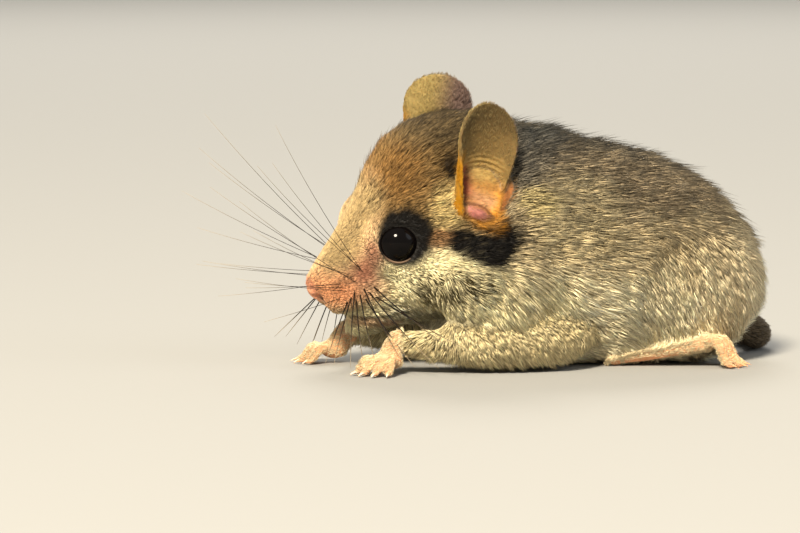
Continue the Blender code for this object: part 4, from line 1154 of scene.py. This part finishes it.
lid_skin, tree_of_nodes, shader = new_material("lid_skin", 0.55, 0.12)
coordinates = speckled_colour(tree_of_nodes, shader, 3000, 0.2)
wrinkles(tree_of_nodes, shader, coordinates, 5000, 0.00004)


def mesh_from(bm, name):
    """A smooth mesh made from the bmesh, which is freed."""
    mesh = bpy.data.meshes.new(name)
    bm.to_mesh(mesh)
    bm.free()
    mesh.shade_smooth()
    return mesh


for side in SIDES:
    looks = head_right * SIDES[side] * math.cos(LOOKS_FORWARD) * math.cos(LOOKS_UP)
    looks += -head_back * math.sin(LOOKS_FORWARD) * math.cos(LOOKS_UP) + head_up * math.sin(LOOKS_UP)
    socket = Matrix.Translation(eyes[side]) @ looks.to_track_quat("Z", "Y").to_matrix().to_4x4()
    bm = bmesh.new()
    bmesh.ops.create_uvsphere(bm, u_segments=64, v_segments=40, radius=EYE_RADIUS * MM, matrix=socket)
    mesh = mesh_from(bm, f"eyeball_{side}")
    mesh.materials.append(eye_black)
    eyeball = add_object(f"eyeball_{side}", mesh)
    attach(eyeball, "root")
    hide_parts(f"eye_{side}")

    depth_of_opening = math.sqrt(EYE_RADIUS**2 - EYE_OPENING**2)
    bm = bmesh.new()
    start = Matrix.Translation(((EYE_OPENING + 0.12) * MM, 0, (depth_of_opening + 0.02) * MM))
    start = start @ Matrix.Rotation(math.radians(90), 4, "X")
    section = bmesh.ops.create_circle(bm, cap_ends=False, radius=LID_RADIUS * MM, segments=8, matrix=start)
    edges = list({edge for vert in section["verts"] for edge in vert.link_edges})
    bmesh.ops.spin(
        bm, geom=section["verts"] + edges, cent=(0, 0, 0), axis=(0, 0, 1), dvec=(0, 0, 0),
        angle=2 * math.pi, steps=72, use_merge=True, use_duplicate=False,
    )
    bmesh.ops.recalc_face_normals(bm, faces=bm.faces)
    bmesh.ops.transform(bm, matrix=socket, verts=bm.verts)
    mesh = mesh_from(bm, f"lid_{side}")
    lid_points = points_of(mesh)
    below = rise(head_places(lid_points)[:, 2], -1.4, -2.8)
    store_colours(mesh, lay(np.tile(linear(LID_DARK), (len(lid_points), 1)), (below * 0.5, LID_PALE)))
    mesh.materials.append(lid_skin)
    lid = add_object(f"lid_{side}", mesh)
    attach(lid, "root")

# The whiskers: stiff tapering hairs rooted in the muzzle's pads, black for most of their length and clear at
# the tip. The front ones are thin and point ahead and up, and the rear ones are thick and fan down and back,
# out beside the paws. Each pair of values runs from a fan's first whisker to its last.
WHISKER_FANS = (
    {"count": 10, "turns": (-44, 8), "outward": (0.4, 0.28), "lengths": (37, 19), "radius": 0.06,
     "roots_back": (-4.6, -8.6), "roots_up": (-5.0, -8.6)},
    {"count": 10, "turns": (52, 128), "outward": (0.5, 0.89), "lengths": (15, 30), "radius": 0.14,
     "roots_back": (-7.2, -2.8), "roots_up": (-9.2, -8.4)},
)
WHISKER_ROOTS_OUTWARD = 5.5
WHISKER_ROW_STEP = 0.95
WHISKER_ROOT_SUNK = 0.2
WHISKER_OVER_FLOOR = 0.8
WHISKER_TIP_RADIUS = 0.02
WHISKER_BLACK = (24, 17, 12)
WHISKER_CLEAR = (178, 160, 130)
whisker_horn, tree_of_nodes, shader = new_material("whisker_horn", 0.5, 0.2)
speckled_colour(tree_of_nodes, shader, 2000, 0.1)
skin_surface = skin_tree()
steps = np.linspace(0, 1, 10)
whisker_shades = [
    linear(WHISKER_BLACK) * (1 - clear) + linear(WHISKER_CLEAR) * clear
    for clear in rise(steps, 0.45, 1.0) * 0.7
]


def between(ends, share):
    return ends[0] + (ends[1] - ends[0]) * share


def whisker_rods(side):
    rods = []
    for fan in WHISKER_FANS:
        for number in range(fan["count"]):
            share = number / (fan["count"] - 1)
            root_back = between(fan["roots_back"], share)
            root_up = between(fan["roots_up"], share) + (number % 3 - 1) * WHISKER_ROW_STEP
            place = on_head(root_back, WHISKER_ROOTS_OUTWARD, root_up, side)
            root, normal, _, _ = skin_surface.find_nearest(place)
            turned = math.radians(between(fan["turns"], share) + dice.uniform(-5, 5))
            outward = between(fan["outward"], share)
            flat = math.sqrt(1 - outward**2)
            aim = Vector((-math.cos(turned) * flat, SIDES[side] * outward, -math.sin(turned) * flat))
            size = between(fan["lengths"], share) * dice.uniform(0.8, 1.0)
            if aim.z < 0:
                size = min(size, (root.z / MM - WHISKER_OVER_FLOOR) / -aim.z)
            bend = Vector((0.05, 0, 0.04)) * size * MM
            start = root - normal * WHISKER_ROOT_SUNK * MM
            line = [start + aim * size * MM * t + bend * t * t for t in steps]
            radii = [between((WHISKER_TIP_RADIUS, fan["radius"]), (1 - t) ** 0.7) * MM for t in steps]
            rods.append((line, radii))
    return rods


def rods_object(name, rods, shades, material, sides):
    """A piece of closed tapering rods, each a line and its radii. The shades run from root to tip."""
    whole = bmesh.new()
    for line, radii in rods:
        rod = mesh_from(limb(line, radii, sides), "rod")
        whole.from_mesh(rod)
        bpy.data.meshes.remove(rod)
    mesh = mesh_from(whole, name)
    store_colours(mesh, np.tile(np.repeat(shades, sides, axis=0), (len(rods), 1)))
    mesh.materials.append(material)
    piece = add_object(name, mesh)
    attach(piece, "root")


for side in SIDES:
    rods_object(f"whiskers_{side}", whisker_rods(side), whisker_shades, whisker_horn, 3)

# The claws: small curved pale horn, one on each finger and toe, four on a forepaw and five on a hind foot.
# Each is a tapering rod set in the digit's tip. Along its curve stand how far back in shares of its length,
# how high and how thick in millimetres, and how pale.
CLAW_LENGTH = 1.5
CLAW_CURVE = ((1, 0.15, 0.16, 0), (0.6, 0.35, 0.19, 0.3), (0.25, 0.15, 0.13, 0.7), (0, 0, 0.03, 1))
CLAW_ROOT = (206, 176, 150)
CLAW_TIP = (232, 220, 200)
TOES = {"forepaw": 4, "hind_foot": 5}
TOE_HALF_WIDTH = 1.1
TOE_REACH = 3.0
TOES_APART = 0.9
PALM_SHARE = 0.55
claw_horn, tree_of_nodes, shader = new_material("claw_horn", 0.3)
speckled_colour(tree_of_nodes, shader, 1500, 0.1)


def claw_tips(node):
    """The ends of a paw's digits: points farther from its middle than all others round them."""
    points = np.array([vert.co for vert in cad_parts[node].data.vertices])
    low, high = points.min(axis=0), points.max(axis=0)
    middle = (low + high) / 2
    if node.startswith("forepaw"):
        middle = points[points[:, 0] > low[0] + PALM_SHARE * (high[0] - low[0])].mean(axis=0)
    distance = np.linalg.norm((points - middle)[:, :2], axis=1)
    found = []
    for index in np.argsort(-distance):
        if points[index, 0] > middle[0]:
            continue
        near = np.linalg.norm(points[:, :2] - points[index, :2], axis=1) < TOE_HALF_WIDTH * MM
        if distance[index] >= distance[near].max() - 1e-9 and distance[index] > TOE_REACH * MM:
            if all(np.linalg.norm(points[index] - other) > TOES_APART * MM for other in found):
                found.append(points[index])
    return middle, found[:TOES[node.rsplit("_", 1)[0]]]


rods = []
for node in NODES_OF["forepaw"] + NODES_OF["hind_foot"]:
    middle, ends = claw_tips(node)
    for end in ends:
        outwards = Vector((end - middle) * (1, 1, 0)).normalized()
        line = [
            Vector(end) - outwards * CLAW_LENGTH * share * MM + Vector((0, 0, high * MM))
            for share, high, _, _ in CLAW_CURVE
        ]
        rods.append((line, [radius * MM for _, _, radius, _ in CLAW_CURVE]))
shades = [linear(CLAW_ROOT) * (1 - pale) + linear(CLAW_TIP) * pale for _, _, _, pale in CLAW_CURVE]
rods_object("claws", rods, shades, claw_horn, 6)

# The brush: hair that lengthens towards the tail's end and stands out to both sides, black above and white
# below and round the edge. It grows from the tail's core, whose skin is part of the one skin.
BRUSH_HAIRS = 14000
BRUSH_LENGTHS = (4.0, 11.5)
BRUSH_RAMP = 0.45
BRUSH_LENGTH_SPREAD = (0.75, 1.08)
BRUSH_HALF_WIDTH = 0.09
BRUSH_STAND = 0.42
BRUSH_FLATNESS = 0.55
BRUSH_STRAYS = 0.35
BRUSH_BLACK = (30, 25, 22)
BRUSH_WHITE = (232, 224, 204)
BRUSH_SHADES = (0.75, 1.2)
upright = np.array((0, 0, 1.0))
core_line = dense_line(BRUSH_CORE, 60) * MM
core_steps = unit(np.gradient(core_line, axis=0))
core_place = dice.random(BRUSH_HAIRS) ** 0.85
spots = np.minimum((core_place * 59).astype(int), 59)
brush_turn = dice.uniform(0, 2 * math.pi, BRUSH_HAIRS)
brush_along = core_steps[spots]
away = unit(np.cross(brush_along, upright)) * np.cos(brush_turn)[:, None]
away = away + upright * (np.sin(brush_turn) * BRUSH_FLATNESS)[:, None]
brush_length = between(BRUSH_LENGTHS, rise(core_place, 0.0, BRUSH_RAMP))
brush_length *= dice.uniform(*BRUSH_LENGTH_SPREAD, BRUSH_HAIRS) * MM
core_radius = np.interp(spots / 59, np.linspace(0, 1, len(BRUSH_CORE_RADII)), BRUSH_CORE_RADII) * MM
stray = dice.normal(0, BRUSH_STRAYS * MM, (BRUSH_HAIRS, 3))
stand_share = dice.random(BRUSH_HAIRS) ** 0.6 * (1 - 0.5 * rise(core_place, 0.7, 1.0))


def brush_point(t):
    """Each hair's place at the share t of its length. It leaves the core at a low angle and bends back."""
    stand = BRUSH_STAND * np.sin(t * 1.9) * brush_length * stand_share + core_radius * (0.7 - 0.4 * t)
    point = core_line[spots] + brush_along * (brush_length * t)[:, None]
    point = point + away * stand[:, None] + stray * t * t
    point[:, 2] = np.maximum(point[:, 2], 0.2 * MM)
    return point


roots = starts = brush_point(0.0)
middles = brush_point(0.45)
tips = brush_point(1.0)
grain = unit(away)
halves = np.full(BRUSH_HAIRS, BRUSH_HALF_WIDTH * MM)
at_edge = np.abs(np.cos(brush_turn)) > 0.8
below = np.sin(brush_turn) < -0.3
white_share = np.where(at_edge | below, 0.75 * rise(core_place, 0.1, 0.5), 0.0)
white_share = np.maximum(white_share, 0.95 * rise(core_place, 0.65, 0.85))
white = dice.random(BRUSH_HAIRS) < white_share
dark = linear(TAIL_TOP) + (linear(BRUSH_BLACK) - linear(TAIL_TOP)) * rise(core_place, 0.0, 0.2)[:, None]
tip_colours = np.where(white[:, None], linear(BRUSH_WHITE), dark)
tip_colours *= dice.uniform(*BRUSH_SHADES, BRUSH_HAIRS)[:, None]
root_colours = dark * 0.7
middle_colours = dark * 0.35 + tip_colours * 0.6
# Each hair takes its patch of the unwrap from the skin's point nearest to its root.
on_core = [before.find(point)[1] for point in starts]
nearest_kept = np.argsort(kept)
nearest_kept = nearest_kept[np.minimum(np.searchsorted(kept[nearest_kept], on_core), len(kept) - 1)]
point_uvs = np.zeros((len(skin_points), 2))
point_uvs[skin_faces.ravel()] = unwrap
root_uvs = point_uvs[nearest_kept]
brush = coat_piece("brush_hair", np.arange(BRUSH_HAIRS), fur)
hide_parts("tail_brush")

# The floor, plain and pale, and soft studio light: a warm key from the front left, a fill and a back light.
FLOOR_HALF_SIZE = 3.0
LIGHT_DISTANCE = 2.4
bm = bmesh.new()
bmesh.ops.create_grid(bm, x_segments=1, y_segments=1, size=FLOOR_HALF_SIZE)
floor = add_object("floor", mesh_from(bm, "floor"))
floor_material, tree_of_nodes, shader = new_material("floor", 0.9, 0.1)
shader.inputs["Base Color"].default_value = (0.3, 0.296, 0.286, 1)
floor.data.materials.append(floor_material)


def soft_light(name, azimuth, elevation, size, power, colour):
    """A round soft light that faces the origin, its size in metres and its power in watts."""
    way = direction(azimuth, elevation)
    data = bpy.data.lights.new(name, "AREA")
    data.shape = "DISK"
    data.size = size
    data.energy = power
    data.color = colour
    light = add_object(name, data)
    light.location = way * LIGHT_DISTANCE
    light.rotation_mode = "QUATERNION"
    light.rotation_quaternion = way.to_track_quat("Z", "Y")


soft_light("key", azimuth=-36, elevation=40, size=0.5, power=152, colour=(1.0, 0.89, 0.7))
soft_light("fill", azimuth=50, elevation=30, size=1.4, power=12, colour=(0.88, 0.94, 1.0))
soft_light("back", azimuth=160, elevation=40, size=1.0, power=40, colour=(1.0, 0.95, 0.86))
world = bpy.data.worlds.new("studio")
world.use_nodes = True
world.node_tree.nodes["Background"].inputs["Color"].default_value = (0.88, 0.87, 0.82, 1)
world.node_tree.nodes["Background"].inputs["Strength"].default_value = 0.62
scene.world = world
